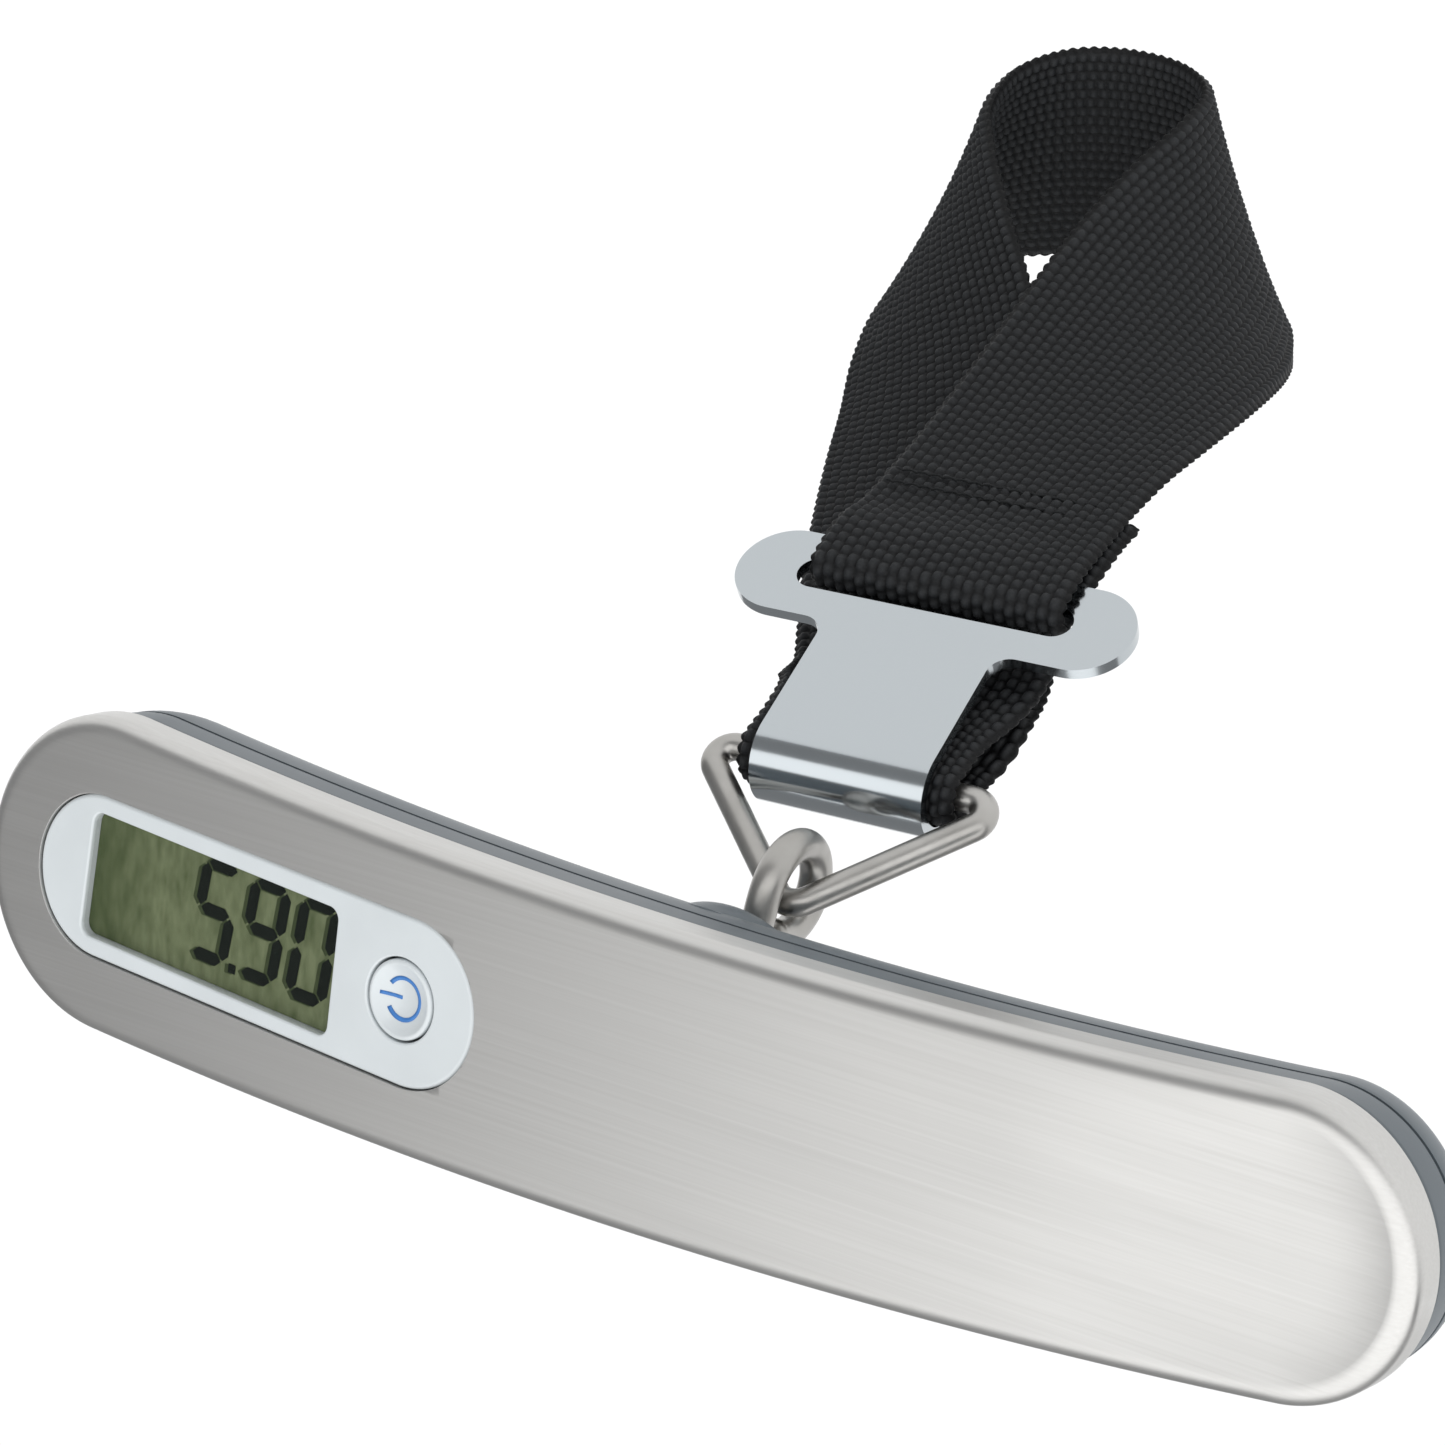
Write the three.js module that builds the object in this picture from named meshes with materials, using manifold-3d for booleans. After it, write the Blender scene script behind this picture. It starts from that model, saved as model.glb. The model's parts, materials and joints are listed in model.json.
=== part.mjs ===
// Digital luggage scale: a curved hand grip with a steel front, a display and a
// load cell inside, a swivelling eye hook, a triangular ring, and a webbing strap
// that loops round a suitcase handle and closes with a T-shaped clasp.
//
// The grip is drawn flat first (x along it, y towards the hook side, z out of the
// front plate) and then turned so that the hook hangs straight down. The hook, ring,
// clasp and strap are drawn hanging: x across, v forwards and t downwards from the
// grip's centre.

import * as THREE from "three";
import { mergeVertices } from "three/addons/utils/BufferGeometryUtils.js";
import Module from "manifold-3d";

const wasm = await Module();
wasm.setup();

// ---- Driving dimensions, mm -------------------------------------------------

const GRIP_LENGTH = 150;
const GRIP_BEND = 650; // radius of the grip's curved centreline
const HALF_LEFT = 14.8; // half height at the display end
const HALF_RIGHT = 12.3; // half height at the plain end
const GRIP_DEPTH = 16.4; // front plate to flat back
const GRIP_CENTRE_Z = -8.2; // the hook's axis crosses the grip's middle plane here
const HOOK_LEAN = THREE.MathUtils.degToRad(48); // hook leans back from the plate's plane
const PLATE_SIDE = 3.7; // how far the steel tray's wall runs back
const SHEET = 0.6; // steel sheet thickness
const WALL = 1.5; // plastic wall thickness
const GAP = 0.3; // clearance between neighbours

const PANEL_AT = -41.8; // display panel's centre along the grip
const PANEL_HALF = [26.1, 7.5];
const WINDOW_HALF = [15.1, 5.9];
const WINDOW_AT = PANEL_AT - 5.2;
const BUTTON_AT = PANEL_AT + 17.8;
const BUTTON_RADIUS = 3.6;

const HOOK_WIRE = 1.45; // radii
const RING_WIRE = 1.25;
const EYE_RADIUS = 4.1;
const EYE_OFFSET = 0.7; // eye centre behind the shaft
const EYE_TURN = THREE.MathUtils.degToRad(97);
const EYE_T = 18.9;
const RING_HALF = 15.4;
const RING_HEIGHT = 15.2;
const RING_CORNER = 1.6;
const RING_APEX = 6.2; // the ring's sharp apex above the eye's lowest wire
const RING_TILT = THREE.MathUtils.degToRad(-6.5);
const RING_YAW = THREE.MathUtils.degToRad(-7);
const CLASP_LEAN = THREE.MathUtils.degToRad(6);

const WEBBING = 25;
const WEBBING_SEWN = 21; // drawn in a little where it is sewn round the ring
const WEBBING_THICK = 1.3;
const CLASP_SHEET = 1.1;
const CLASP_HALF = 19.5;
const TRUNK_HALF = 8.4;

// ---- General helpers --------------------------------------------------------

function signedVolume(geometry) {
  const p = geometry.attributes.position;
  const index = geometry.index;
  const a = new THREE.Vector3();
  const b = new THREE.Vector3();
  const c = new THREE.Vector3();
  let sum = 0;
  for (let i = 0; i < index.count; i += 3) {
    a.fromBufferAttribute(p, index.getX(i));
    b.fromBufferAttribute(p, index.getX(i + 1));
    c.fromBufferAttribute(p, index.getX(i + 2));
    sum += a.dot(b.cross(c));
  }
  return sum / 6;
}

// Turns a closed geometry's faces outwards.
function outward(geometry) {
  if (signedVolume(geometry) < 0) {
    const index = geometry.index;
    for (let i = 0; i < index.count; i += 3) {
      const first = index.getX(i);
      index.setX(i, index.getX(i + 1));
      index.setX(i + 1, first);
    }
  }
  return geometry;
}

// Skins a row of loops with the same point count and caps both ends.
function skin(loops, flat, closed = false) {
  const count = loops[0].length;
  const positions = [];
  const faces = [];
  for (const loop of loops) {
    for (const point of loop) {
      positions.push(point.x, point.y, point.z);
    }
  }
  const bands = closed ? loops.length : loops.length - 1;
  for (let band = 0; band < bands; band += 1) {
    const here = band * count;
    const next = ((band + 1) % loops.length) * count;
    for (let i = 0; i < count; i += 1) {
      const j = (i + 1) % count;
      faces.push(here + i, here + j, next + j);
      faces.push(here + i, next + j, next + i);
    }
  }
  if (!closed) {
    const cap = THREE.ShapeUtils.triangulateShape(flat, []);
    const last = (loops.length - 1) * count;
    for (const [a, b, c] of cap) {
      faces.push(a, c, b);
      faces.push(last + a, last + b, last + c);
    }
  }
  const geometry = new THREE.BufferGeometry();
  geometry.setAttribute("position", new THREE.Float32BufferAttribute(positions, 3));
  geometry.setIndex(faces);
  return outward(geometry);
}

function toSolid(geometry) {
  const bare = geometry.clone();
  bare.deleteAttribute("normal");
  bare.deleteAttribute("uv");
  const merged = mergeVertices(bare, 1e-4);
  return new wasm.Manifold(
    new wasm.Mesh({
      numProp: 3,
      vertProperties: new Float32Array(merged.attributes.position.array),
      triVerts: new Uint32Array(merged.index.array),
    }),
  );
}

function toGeometry(solid) {
  const mesh = solid.getMesh();
  const geometry = new THREE.BufferGeometry();
  const positions = new Float32Array(mesh.numVert * 3);
  for (let i = 0; i < mesh.numVert; i += 1) {
    for (let k = 0; k < 3; k += 1) {
      positions[i * 3 + k] = mesh.vertProperties[i * mesh.numProp + k];
    }
  }
  geometry.setAttribute("position", new THREE.BufferAttribute(positions, 3));
  geometry.setIndex(new THREE.BufferAttribute(new Uint32Array(mesh.triVerts), 1));
  return geometry;
}

function combine(base, { add = [], cut = [] }) {
  let solid = toSolid(base);
  for (const extra of add) {
    solid = solid.add(toSolid(extra));
  }
  for (const tool of cut) {
    solid = solid.subtract(toSolid(tool));
  }
  return toGeometry(solid);
}

function common(a, b) {
  return toGeometry(toSolid(a).intersect(toSolid(b)));
}

function block(x0, x1, y0, y1, z0, z1) {
  const geometry = new THREE.BoxGeometry(x1 - x0, y1 - y0, z1 - z0);
  geometry.translate((x0 + x1) / 2, (y0 + y1) / 2, (z0 + z1) / 2);
  return geometry;
}

// A round bar from one point to another.
function bar(from, to, radius, segments = 24) {
  const axis = to.clone().sub(from);
  const geometry = new THREE.CylinderGeometry(radius, radius, axis.length(), segments);
  const turn = new THREE.Quaternion();
  turn.setFromUnitVectors(new THREE.Vector3(0, 1, 0), axis.clone().normalize());
  geometry.applyQuaternion(turn);
  const middle = from.clone().add(to).multiplyScalar(0.5);
  geometry.translate(middle.x, middle.y, middle.z);
  return geometry;
}

function upright(x, y, z0, z1, radius, segments = 24) {
  return bar(new THREE.Vector3(x, y, z0), new THREE.Vector3(x, y, z1), radius, segments);
}

// ---- Outlines of the grip ---------------------------------------------------

// A point `along` the curved centreline and `up` from it.
function onGrip(along, up) {
  const angle = along / GRIP_BEND;
  const radius = GRIP_BEND - up;
  return new THREE.Vector2(radius * Math.sin(angle), GRIP_BEND - radius * Math.cos(angle));
}

// The grip's outline, moved in by `inset`, with its ends a further `tuck` shorter.
function gripOutline(inset, tuck = 0) {
  const leftCentre = -GRIP_LENGTH / 2 + HALF_LEFT + tuck;
  const rightCentre = GRIP_LENGTH / 2 - HALF_RIGHT - tuck;
  const points = [];
  const sideSteps = 14;
  const endSteps = 14;
  for (let i = 0; i <= endSteps; i += 1) {
    const a = -Math.PI / 2 + (Math.PI * i) / endSteps;
    const r = HALF_RIGHT - inset;
    points.push(onGrip(rightCentre + r * Math.cos(a), r * Math.sin(a)));
  }
  for (let i = 1; i < sideSteps; i += 1) {
    const k = i / sideSteps;
    const half = THREE.MathUtils.lerp(HALF_RIGHT, HALF_LEFT, k) - inset;
    points.push(onGrip(THREE.MathUtils.lerp(rightCentre, leftCentre, k), half));
  }
  for (let i = 0; i <= endSteps; i += 1) {
    const a = Math.PI / 2 + (Math.PI * i) / endSteps;
    const r = HALF_LEFT - inset;
    points.push(onGrip(leftCentre + r * Math.cos(a), r * Math.sin(a)));
  }
  for (let i = 1; i < sideSteps; i += 1) {
    const k = i / sideSteps;
    const half = THREE.MathUtils.lerp(HALF_LEFT, HALF_RIGHT, k) - inset;
    points.push(onGrip(THREE.MathUtils.lerp(leftCentre, rightCentre, k), -half));
  }
  return points;
}

// Stacks grip outlines: each level is [z, inset, tuck].
function gripLoft(levels) {
  const outlines = levels.map(([, inset, tuck]) => gripOutline(inset, tuck ?? 0));
  const loops = levels.map(([z], n) => outlines[n].map((p) => new THREE.Vector3(p.x, p.y, z)));
  return skin(loops, outlines[0]);
}

// A rectangle with rounded corners lying along the curved grip.
function panelPrism(centre, halfLong, halfHigh, corner, z0, z1) {
  const points = [];
  const steps = 8;
  const corners = [
    [1, -1, -Math.PI / 2],
    [1, 1, 0],
    [-1, 1, Math.PI / 2],
    [-1, -1, Math.PI],
  ];
  for (const [sx, sy, start] of corners) {
    for (let i = 0; i <= steps; i += 1) {
      const a = start + (Math.PI / 2) * (i / steps);
      const along = centre + sx * (halfLong - corner) + corner * Math.cos(a);
      const up = sy * (halfHigh - corner) + corner * Math.sin(a);
      points.push(onGrip(along, up));
    }
  }
  const clean = points.filter((p, i) => p.distanceTo(points[(i + 1) % points.length]) > 1e-3);
  const loops = [z0, z1].map((z) => clean.map((p) => new THREE.Vector3(p.x, p.y, z)));
  return skin(loops, clean);
}

// ---- Frames -----------------------------------------------------------------

// Directions in the flat grip frame: hook direction and the strap's front side.
const DOWN = new THREE.Vector3(0, Math.cos(HOOK_LEAN), -Math.sin(HOOK_LEAN));
const FRONT = new THREE.Vector3(0, Math.sin(HOOK_LEAN), Math.cos(HOOK_LEAN));

// A point in the flat grip frame, given in hanging coordinates.
function inGrip(x, v, t) {
  const point = new THREE.Vector3(x, 0, GRIP_CENTRE_Z);
  return point.addScaledVector(FRONT, v).addScaledVector(DOWN, t);
}

// A point in the part's own frame, given in hanging coordinates.
function hanging(x, v, t) {
  return new THREE.Vector3(-x, -v, -t);
}

const hangGrip = new THREE.Matrix4();
hangGrip.makeBasis(
  new THREE.Vector3(-1, 0, 0),
  new THREE.Vector3(0, -Math.sin(HOOK_LEAN), -Math.cos(HOOK_LEAN)),
  new THREE.Vector3(0, -Math.cos(HOOK_LEAN), Math.sin(HOOK_LEAN)),
);
hangGrip.multiply(new THREE.Matrix4().makeTranslation(0, 0, -GRIP_CENTRE_Z));

const scale = new THREE.Group();
scale.name = "luggage_scale";

function material(color, roughness, metalness = 0, extra = {}) {
  return new THREE.MeshStandardMaterial({ color, roughness, metalness, ...extra });
}

function addPiece(name, geometry, look, holder = scale) {
  const mesh = new THREE.Mesh(geometry, look);
  mesh.name = name;
  holder.add(mesh);
}

function addGripPiece(name, geometry, look) {
  addPiece(name, geometry.applyMatrix4(hangGrip), look);
}

const steelLook = () => material(0xc9c8c4, 0.32, 1);
const wireLook = () => material(0xb4b2ac, 0.3, 1);
const casingLook = () => material(0x5f676d, 0.55);
const whiteLook = () => material(0xdfe6ee, 0.35);
const zincLook = () => material(0xb9bcc0, 0.4, 1);

// ---- Front plate and casing -------------------------------------------------

// Outer levels of a tray whose face turns into its wall with a bend.
function trayLevels(bend, inset, front, back) {
  const levels = [[back, inset]];
  for (let i = 0; i <= 4; i += 1) {
    const a = (Math.PI / 2) * (i / 4);
    levels.push([front - bend * (1 - Math.sin(a)), inset + bend * (1 - Math.cos(a))]);
  }
  return levels;
}

const plateOuter = gripLoft(trayLevels(1.6, 0, 0, -PLATE_SIDE));
const plateInner = gripLoft(trayLevels(1.0, SHEET, -SHEET, -PLATE_SIDE - 1));
const panelHole = panelPrism(
  PANEL_AT,
  PANEL_HALF[0] + GAP,
  PANEL_HALF[1] + GAP,
  PANEL_HALF[1] + GAP,
  -2,
  1,
);
addGripPiece("front_plate", combine(plateOuter, { cut: [plateInner, panelHole] }), steelLook());

// Screws that hold the rear casing to the front casing.
const CASING_SCREWS = [
  onGrip(-67.2, 0),
  onGrip(67.6, 0),
  onGrip(-15.5, 9.4),
  onGrip(-15.5, -9.4),
];
const SPLIT_Z = -7.6;
const BACK_Z = -GRIP_DEPTH;

const frontWall = gripLoft([
  [SPLIT_Z, 0.6],
  [-PLATE_SIDE - GAP, 0.3],
]);
const frontHollow = gripLoft([
  [SPLIT_Z - 1, 0.6 + WALL],
  [-PLATE_SIDE + 1, 0.3 + WALL],
]);
const frontPosts = [
  block(-73, -64.6, onGrip(-67.2, 0).y - 2.6, onGrip(-67.2, 0).y + 2.6, SPLIT_Z, -PLATE_SIDE - GAP),
  block(65, 73, onGrip(67.6, 0).y - 2.6, onGrip(67.6, 0).y + 2.6, SPLIT_Z, -PLATE_SIDE - GAP),
  block(-18.1, -12.9, 7.0, 12.6, SPLIT_Z, -PLATE_SIDE - GAP),
  block(-18.1, -12.9, -12.6, -7.0, SPLIT_Z, -PLATE_SIDE - GAP),
];
const frontRing = combine(frontWall, { cut: [frontHollow] });
const frontPostsInside = frontPosts.map((post) => common(post, frontWall));
const pilotHoles = CASING_SCREWS.map((p) => upright(p.x, p.y, SPLIT_Z - 1, -4.9, 1.25));
addGripPiece(
  "front_casing",
  combine(frontRing, { add: frontPostsInside, cut: pilotHoles }),
  casingLook(),
);

// Levels of the rounded back, from the split line to the flat back.
function backLevels(inset) {
  const depth = GRIP_DEPTH + SPLIT_Z - GAP - inset;
  const levels = [];
  for (let i = 0; i <= 7; i += 1) {
    const a = (Math.PI / 2) * (i / 7);
    const z = SPLIT_Z - GAP - depth * Math.sin(a);
    levels.push([z, 0.6 + inset + 6.6 * (1 - Math.cos(a)), 6 * (1 - Math.cos(a))]);
  }
  return levels;
}

const backOuter = gripLoft(backLevels(0));
const backInner = gripLoft([[SPLIT_Z + 1, 0.6 + WALL], ...backLevels(WALL)]);

// The smooth round collar where the hook comes out of the back's upper shoulder.
const COLLAR_TOP = 13.2;
const collarProfile = [
  [0, 2],
  [7.6, 2],
  [7.6, 10.0],
  [7.0, 11.0],
  [6.2, 11.9],
  [5.2, 12.6],
  [4.2, 13.05],
  [3.2, COLLAR_TOP],
  [0, COLLAR_TOP],
].map(([r, t]) => new THREE.Vector2(r, t));
function aboutHook(profile, segments = 40) {
  const geometry = new THREE.LatheGeometry(profile, segments);
  const turn = new THREE.Quaternion();
  turn.setFromUnitVectors(new THREE.Vector3(0, 1, 0), DOWN);
  geometry.applyQuaternion(turn);
  geometry.translate(0, 0, GRIP_CENTRE_Z);
  return outward(mergeVertices(stripped(geometry), 1e-4));
}
function stripped(geometry) {
  geometry.deleteAttribute("normal");
  geometry.deleteAttribute("uv");
  return geometry;
}
const behindSplit = block(-90, 90, -40, 40, -60, SPLIT_Z - GAP);
const collar = common(aboutHook(collarProfile), behindSplit);
const hookHole = bar(inGrip(0, 0, 2), inGrip(0, 0, 20), 2.3);

// A rib inside the back that carries the fixed end of the load cell.
const CELL_T = 1.6;
const CELL_HALF_T = 2.6;
const CELL_HALF_V = 4;
const CELL_SCREWS = [29, 36];
function hangingBlock(x0, x1, v0, v1, t0, t1) {
  const geometry = new THREE.BoxGeometry(x1 - x0, v1 - v0, t1 - t0);
  const basis = new THREE.Matrix4().makeBasis(new THREE.Vector3(1, 0, 0), FRONT, DOWN);
  const centre = inGrip((x0 + x1) / 2, (v0 + v1) / 2, (t0 + t1) / 2);
  geometry.applyMatrix4(basis);
  geometry.translate(centre.x, centre.y, centre.z);
  return outward(mergeVertices(stripped(geometry), 1e-4));
}
const cellTop = CELL_T + CELL_HALF_T;
const rib = common(
  common(hangingBlock(25, 40, -CELL_HALF_V, CELL_HALF_V, cellTop + GAP, 16), backOuter),
  behindSplit,
);
const ribHoles = CELL_SCREWS.map((x) => bar(inGrip(x, 0, 0), inGrip(x, 0, 9.2), 1.3));

const screwPosts = CASING_SCREWS.map((p) =>
  common(upright(p.x, p.y, BACK_Z - 1, SPLIT_Z - GAP, 3.1), backOuter),
);
const screwBores = CASING_SCREWS.map((p) => upright(p.x, p.y, BACK_Z - 2, SPLIT_Z + 1, 1.45));
const HEAD_Z = -12.2;
const headBores = CASING_SCREWS.map((p) => upright(p.x, p.y, BACK_Z - 2, HEAD_Z, 2.6));

// The battery door is a piece of the back's own wall.
const DOOR = { x0: -57, x1: -33, half: 7.4 };
const doorTool = (grow) =>
  block(
    DOOR.x0 - grow,
    DOOR.x1 + grow,
    1.6 - DOOR.half - grow,
    1.6 + DOOR.half + grow,
    -40,
    -11,
  );
const backShell = combine(backOuter, { cut: [backInner] });
const rearCasing = combine(backShell, {
  add: [combine(collar, { cut: [backInner] }), rib, ...screwPosts],
  cut: [hookHole, ...ribHoles, ...screwBores, ...headBores, doorTool(0.2)],
});
addGripPiece("rear_casing", rearCasing, casingLook());
addGripPiece("battery_door", common(backShell, doorTool(0)), casingLook());

CASING_SCREWS.forEach((p, i) => {
  const head = upright(p.x, p.y, HEAD_Z - 1.6, HEAD_Z - 0.1, 2.3);
  const shank = upright(p.x, p.y, HEAD_Z - 1, -5.4, 1.15);
  const cross = [
    block(p.x - 1.5, p.x + 1.5, p.y - 0.3, p.y + 0.3, HEAD_Z - 2, HEAD_Z - 0.9),
    block(p.x - 0.3, p.x + 0.3, p.y - 1.5, p.y + 1.5, HEAD_Z - 2, HEAD_Z - 0.9),
  ];
  addGripPiece(`casing_screw_${i + 1}`, combine(head, { add: [shank], cut: cross }), zincLook());
});

// ---- Display panel and its electronics --------------------------------------

const panelBlank = panelPrism(PANEL_AT, PANEL_HALF[0], PANEL_HALF[1], PANEL_HALF[1], -3.2, -0.1);
const windowHole = panelPrism(WINDOW_AT, WINDOW_HALF[0], WINDOW_HALF[1], 1.1, -6, 2);
const buttonSpot = onGrip(BUTTON_AT, 0);
const buttonHole = upright(buttonSpot.x, buttonSpot.y, -6, 2, BUTTON_RADIUS + 0.2, 40);
addGripPiece(
  "display_bezel",
  combine(panelBlank, { cut: [windowHole, buttonHole] }),
  whiteLook(),
);
addGripPiece(
  "display_window",
  panelPrism(WINDOW_AT, WINDOW_HALF[0] - 0.2, WINDOW_HALF[1] - 0.2, 1.0, -1.5, -0.5),
  material(0xe8f0ea, 0.08, 0, { transparent: true, opacity: 0.35 }),
);
addGripPiece(
  "lcd_glass",
  panelPrism(WINDOW_AT, 16.2, 7.6, 0.4, -5.3, -3.5),
  material(0x7d8a5c, 0.3),
);
[1, -1].forEach((side, i) => {
  const y = side * 6.9;
  addGripPiece(
    `lcd_connector_${i + 1}`,
    panelPrism(WINDOW_AT, 14.5, 0.55, 0.2, -7.3, -5.6).translate(0, y, 0),
    material(0xd9b7c0, 0.8),
  );
});

const BOARD_Z = -7.6;
addGripPiece(
  "circuit_board",
  panelPrism(PANEL_AT - 0.6, 20.4, 8.6, 1, BOARD_Z - 1, BOARD_Z),
  material(0x1f5a37, 0.6),
);
const chipSpot = onGrip(PANEL_AT - 8, 0);
const blob = [
  [0, 0],
  [4, 0],
  [3.7, 0.55],
  [2.9, 1.0],
  [1.6, 1.3],
  [0, 1.4],
].map(([r, h]) => new THREE.Vector2(r, h));
const blobShape = stripped(new THREE.LatheGeometry(blob, 24));
blobShape.rotateX(Math.PI / 2);
blobShape.translate(chipSpot.x, chipSpot.y, BOARD_Z + 0.05);
addGripPiece("controller_blob", outward(mergeVertices(blobShape, 1e-4)), material(0x141416, 0.5));

// The button is dished on top and pushes the switch through a short stem.
const dish = [
  [0, -0.75],
  [1.2, -0.66],
  [2.2, -0.42],
  [2.9, -0.15],
  [3.2, 0.02],
  [BUTTON_RADIUS - 0.15, 0.02],
  [BUTTON_RADIUS, -0.13],
  [BUTTON_RADIUS, -1.7],
  [1.1, -1.7],
  [1.1, -5.15],
  [0, -5.15],
].map(([r, h]) => new THREE.Vector2(r, h));
const buttonShape = stripped(new THREE.LatheGeometry(dish, 40));
buttonShape.rotateX(Math.PI / 2);
buttonShape.translate(buttonSpot.x, buttonSpot.y, -0.1);
addGripPiece("power_button", outward(mergeVertices(buttonShape, 1e-4)), whiteLook());
addGripPiece(
  "button_switch",
  combine(block(-2.6, 2.6, -2.6, 2.6, BOARD_Z + 0.05, -6.35), {
    add: [upright(0, 0, -6.5, -6.0, 1.5)],
  }).translate(buttonSpot.x, buttonSpot.y, 0),
  material(0x2a2b2e, 0.5),
);

// ---- Battery ----------------------------------------------------------------

const cellSpot = onGrip((DOOR.x0 + DOOR.x1) / 2, 0);
addGripPiece(
  "coin_cell",
  combine(upright(cellSpot.x, cellSpot.y, -13.0, -10.4, 8, 48), {
    add: [upright(cellSpot.x, cellSpot.y, -10.5, -9.8, 6.9, 48)],
  }),
  material(0xc4c6c8, 0.3, 1),
);
addGripPiece(
  "battery_contact_negative",
  block(cellSpot.x - 5, cellSpot.x + 5, cellSpot.y - 1.6, cellSpot.y + 1.6, -9.5, -9.2),
  material(0xc9b26a, 0.4, 1),
);
addGripPiece(
  "battery_contact_positive",
  block(cellSpot.x + 8.3, cellSpot.x + 8.7, cellSpot.y - 2.5, cellSpot.y + 2.5, -12.8, -9.0),
  material(0xc9b26a, 0.4, 1),
);

// ---- Load cell --------------------------------------------------------------

const cellBeam = hangingBlock(
  -6,
  40,
  -CELL_HALF_V,
  CELL_HALF_V,
  CELL_T - CELL_HALF_T,
  CELL_T + CELL_HALF_T,
);
const cellHoles = [
  bar(inGrip(0, 0, -4), inGrip(0, 0, 8), 1.9),
  ...CELL_SCREWS.map((x) => bar(inGrip(x, 0, -4), inGrip(x, 0, 8), 1.6)),
  bar(inGrip(10, -9, CELL_T), inGrip(10, 9, CELL_T), 1.9),
  bar(inGrip(18, -9, CELL_T), inGrip(18, 9, CELL_T), 1.9),
  hangingBlock(10, 18, -9, 9, CELL_T - 0.7, CELL_T + 0.7),
];
addGripPiece("load_cell", combine(cellBeam, { cut: cellHoles }), material(0xb8bdc4, 0.4, 1));
[10, 18].forEach((x, i) => {
  const face = CELL_T - CELL_HALF_T;
  addGripPiece(
    `strain_gauge_${i + 1}`,
    hangingBlock(x - 2.6, x + 2.6, -1.9, 1.9, face - 0.25, face - 0.05),
    material(0xb5763a, 0.6),
  );
});
CELL_SCREWS.forEach((x, i) => {
  const face = CELL_T - CELL_HALF_T;
  const head = bar(inGrip(x, 0, face - 1.9), inGrip(x, 0, face - 0.1), 2.6);
  const shank = bar(inGrip(x, 0, face - 1), inGrip(x, 0, 8.6), 1.2);
  const key = bar(inGrip(x, 0, face - 3), inGrip(x, 0, face - 0.9), 1.3, 6);
  addGripPiece(`cell_screw_${i + 1}`, combine(head, { add: [shank], cut: [key] }), zincLook());
});

// ---- Eye hook ---------------------------------------------------------------

// Sweeps a round section along a flat curve; `across` is the curve plane's normal.
function wire(points, radius, across, closed = false, segments = 16) {
  const loops = points.map((point, i) => {
    const before = closed ? points.at(i - 1) : points[Math.max(i - 1, 0)];
    const after = closed ? points[(i + 1) % points.length] : points[Math.min(i + 1, points.length - 1)];
    const along = after.clone().sub(before).normalize();
    const side = new THREE.Vector3().crossVectors(along, across).normalize();
    const loop = [];
    for (let k = 0; k < segments; k += 1) {
      const a = (2 * Math.PI * k) / segments;
      const spot = point.clone().addScaledVector(side, radius * Math.cos(a));
      loop.push(spot.addScaledVector(across, radius * Math.sin(a)));
    }
    return loop;
  });
  const flat = loops[0].map((_, k) => {
    const a = (2 * Math.PI * k) / segments;
    return new THREE.Vector2(Math.cos(a), Math.sin(a));
  });
  return skin(loops, flat, closed);
}

const eyeSide = hanging(Math.cos(EYE_TURN), -Math.sin(EYE_TURN), 0);
const eyeNormal = hanging(Math.sin(EYE_TURN), Math.cos(EYE_TURN), 0);
const hookAt = (p, t) => eyeSide.clone().multiplyScalar(p).add(hanging(0, 0, t));
const NECK_T = EYE_T - 7.0;
const hookPath = [hookAt(0, -5.2), hookAt(0, 0), hookAt(0, 6), hookAt(0, NECK_T)];
const neck = new THREE.CubicBezierCurve3(
  hookAt(0, NECK_T),
  hookAt(0, NECK_T + 2.4),
  hookAt(EYE_OFFSET - EYE_RADIUS, EYE_T - 3.2),
  hookAt(EYE_OFFSET - EYE_RADIUS, EYE_T),
);
hookPath.push(...neck.getPoints(8).slice(1));
const EYE_END = THREE.MathUtils.degToRad(-66);
for (let i = 1; i <= 32; i += 1) {
  const a = Math.PI + (EYE_END - Math.PI) * (i / 32);
  hookPath.push(hookAt(EYE_OFFSET + EYE_RADIUS * Math.cos(a), EYE_T + EYE_RADIUS * Math.sin(a)));
}
addPiece("eye_hook", wire(hookPath, HOOK_WIRE, eyeNormal), wireLook());

const washerT = CELL_T - CELL_HALF_T - GAP;
function hangingRing(outer, inner, t0, t1, segments) {
  const ring = bar(hanging(0, 0, t0), hanging(0, 0, t1), outer, segments);
  const hole = bar(hanging(0, 0, t0 - 1), hanging(0, 0, t1 + 1), inner, 32);
  return combine(ring, { cut: [hole] });
}
addPiece("hook_washer", hangingRing(3.4, 1.6, washerT - 0.6, washerT, 32), zincLook());
addPiece("hook_nut", hangingRing(3.1, 1.5, washerT - 3.2, washerT - 0.9, 6), zincLook());

// ---- Triangular ring --------------------------------------------------------

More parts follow.
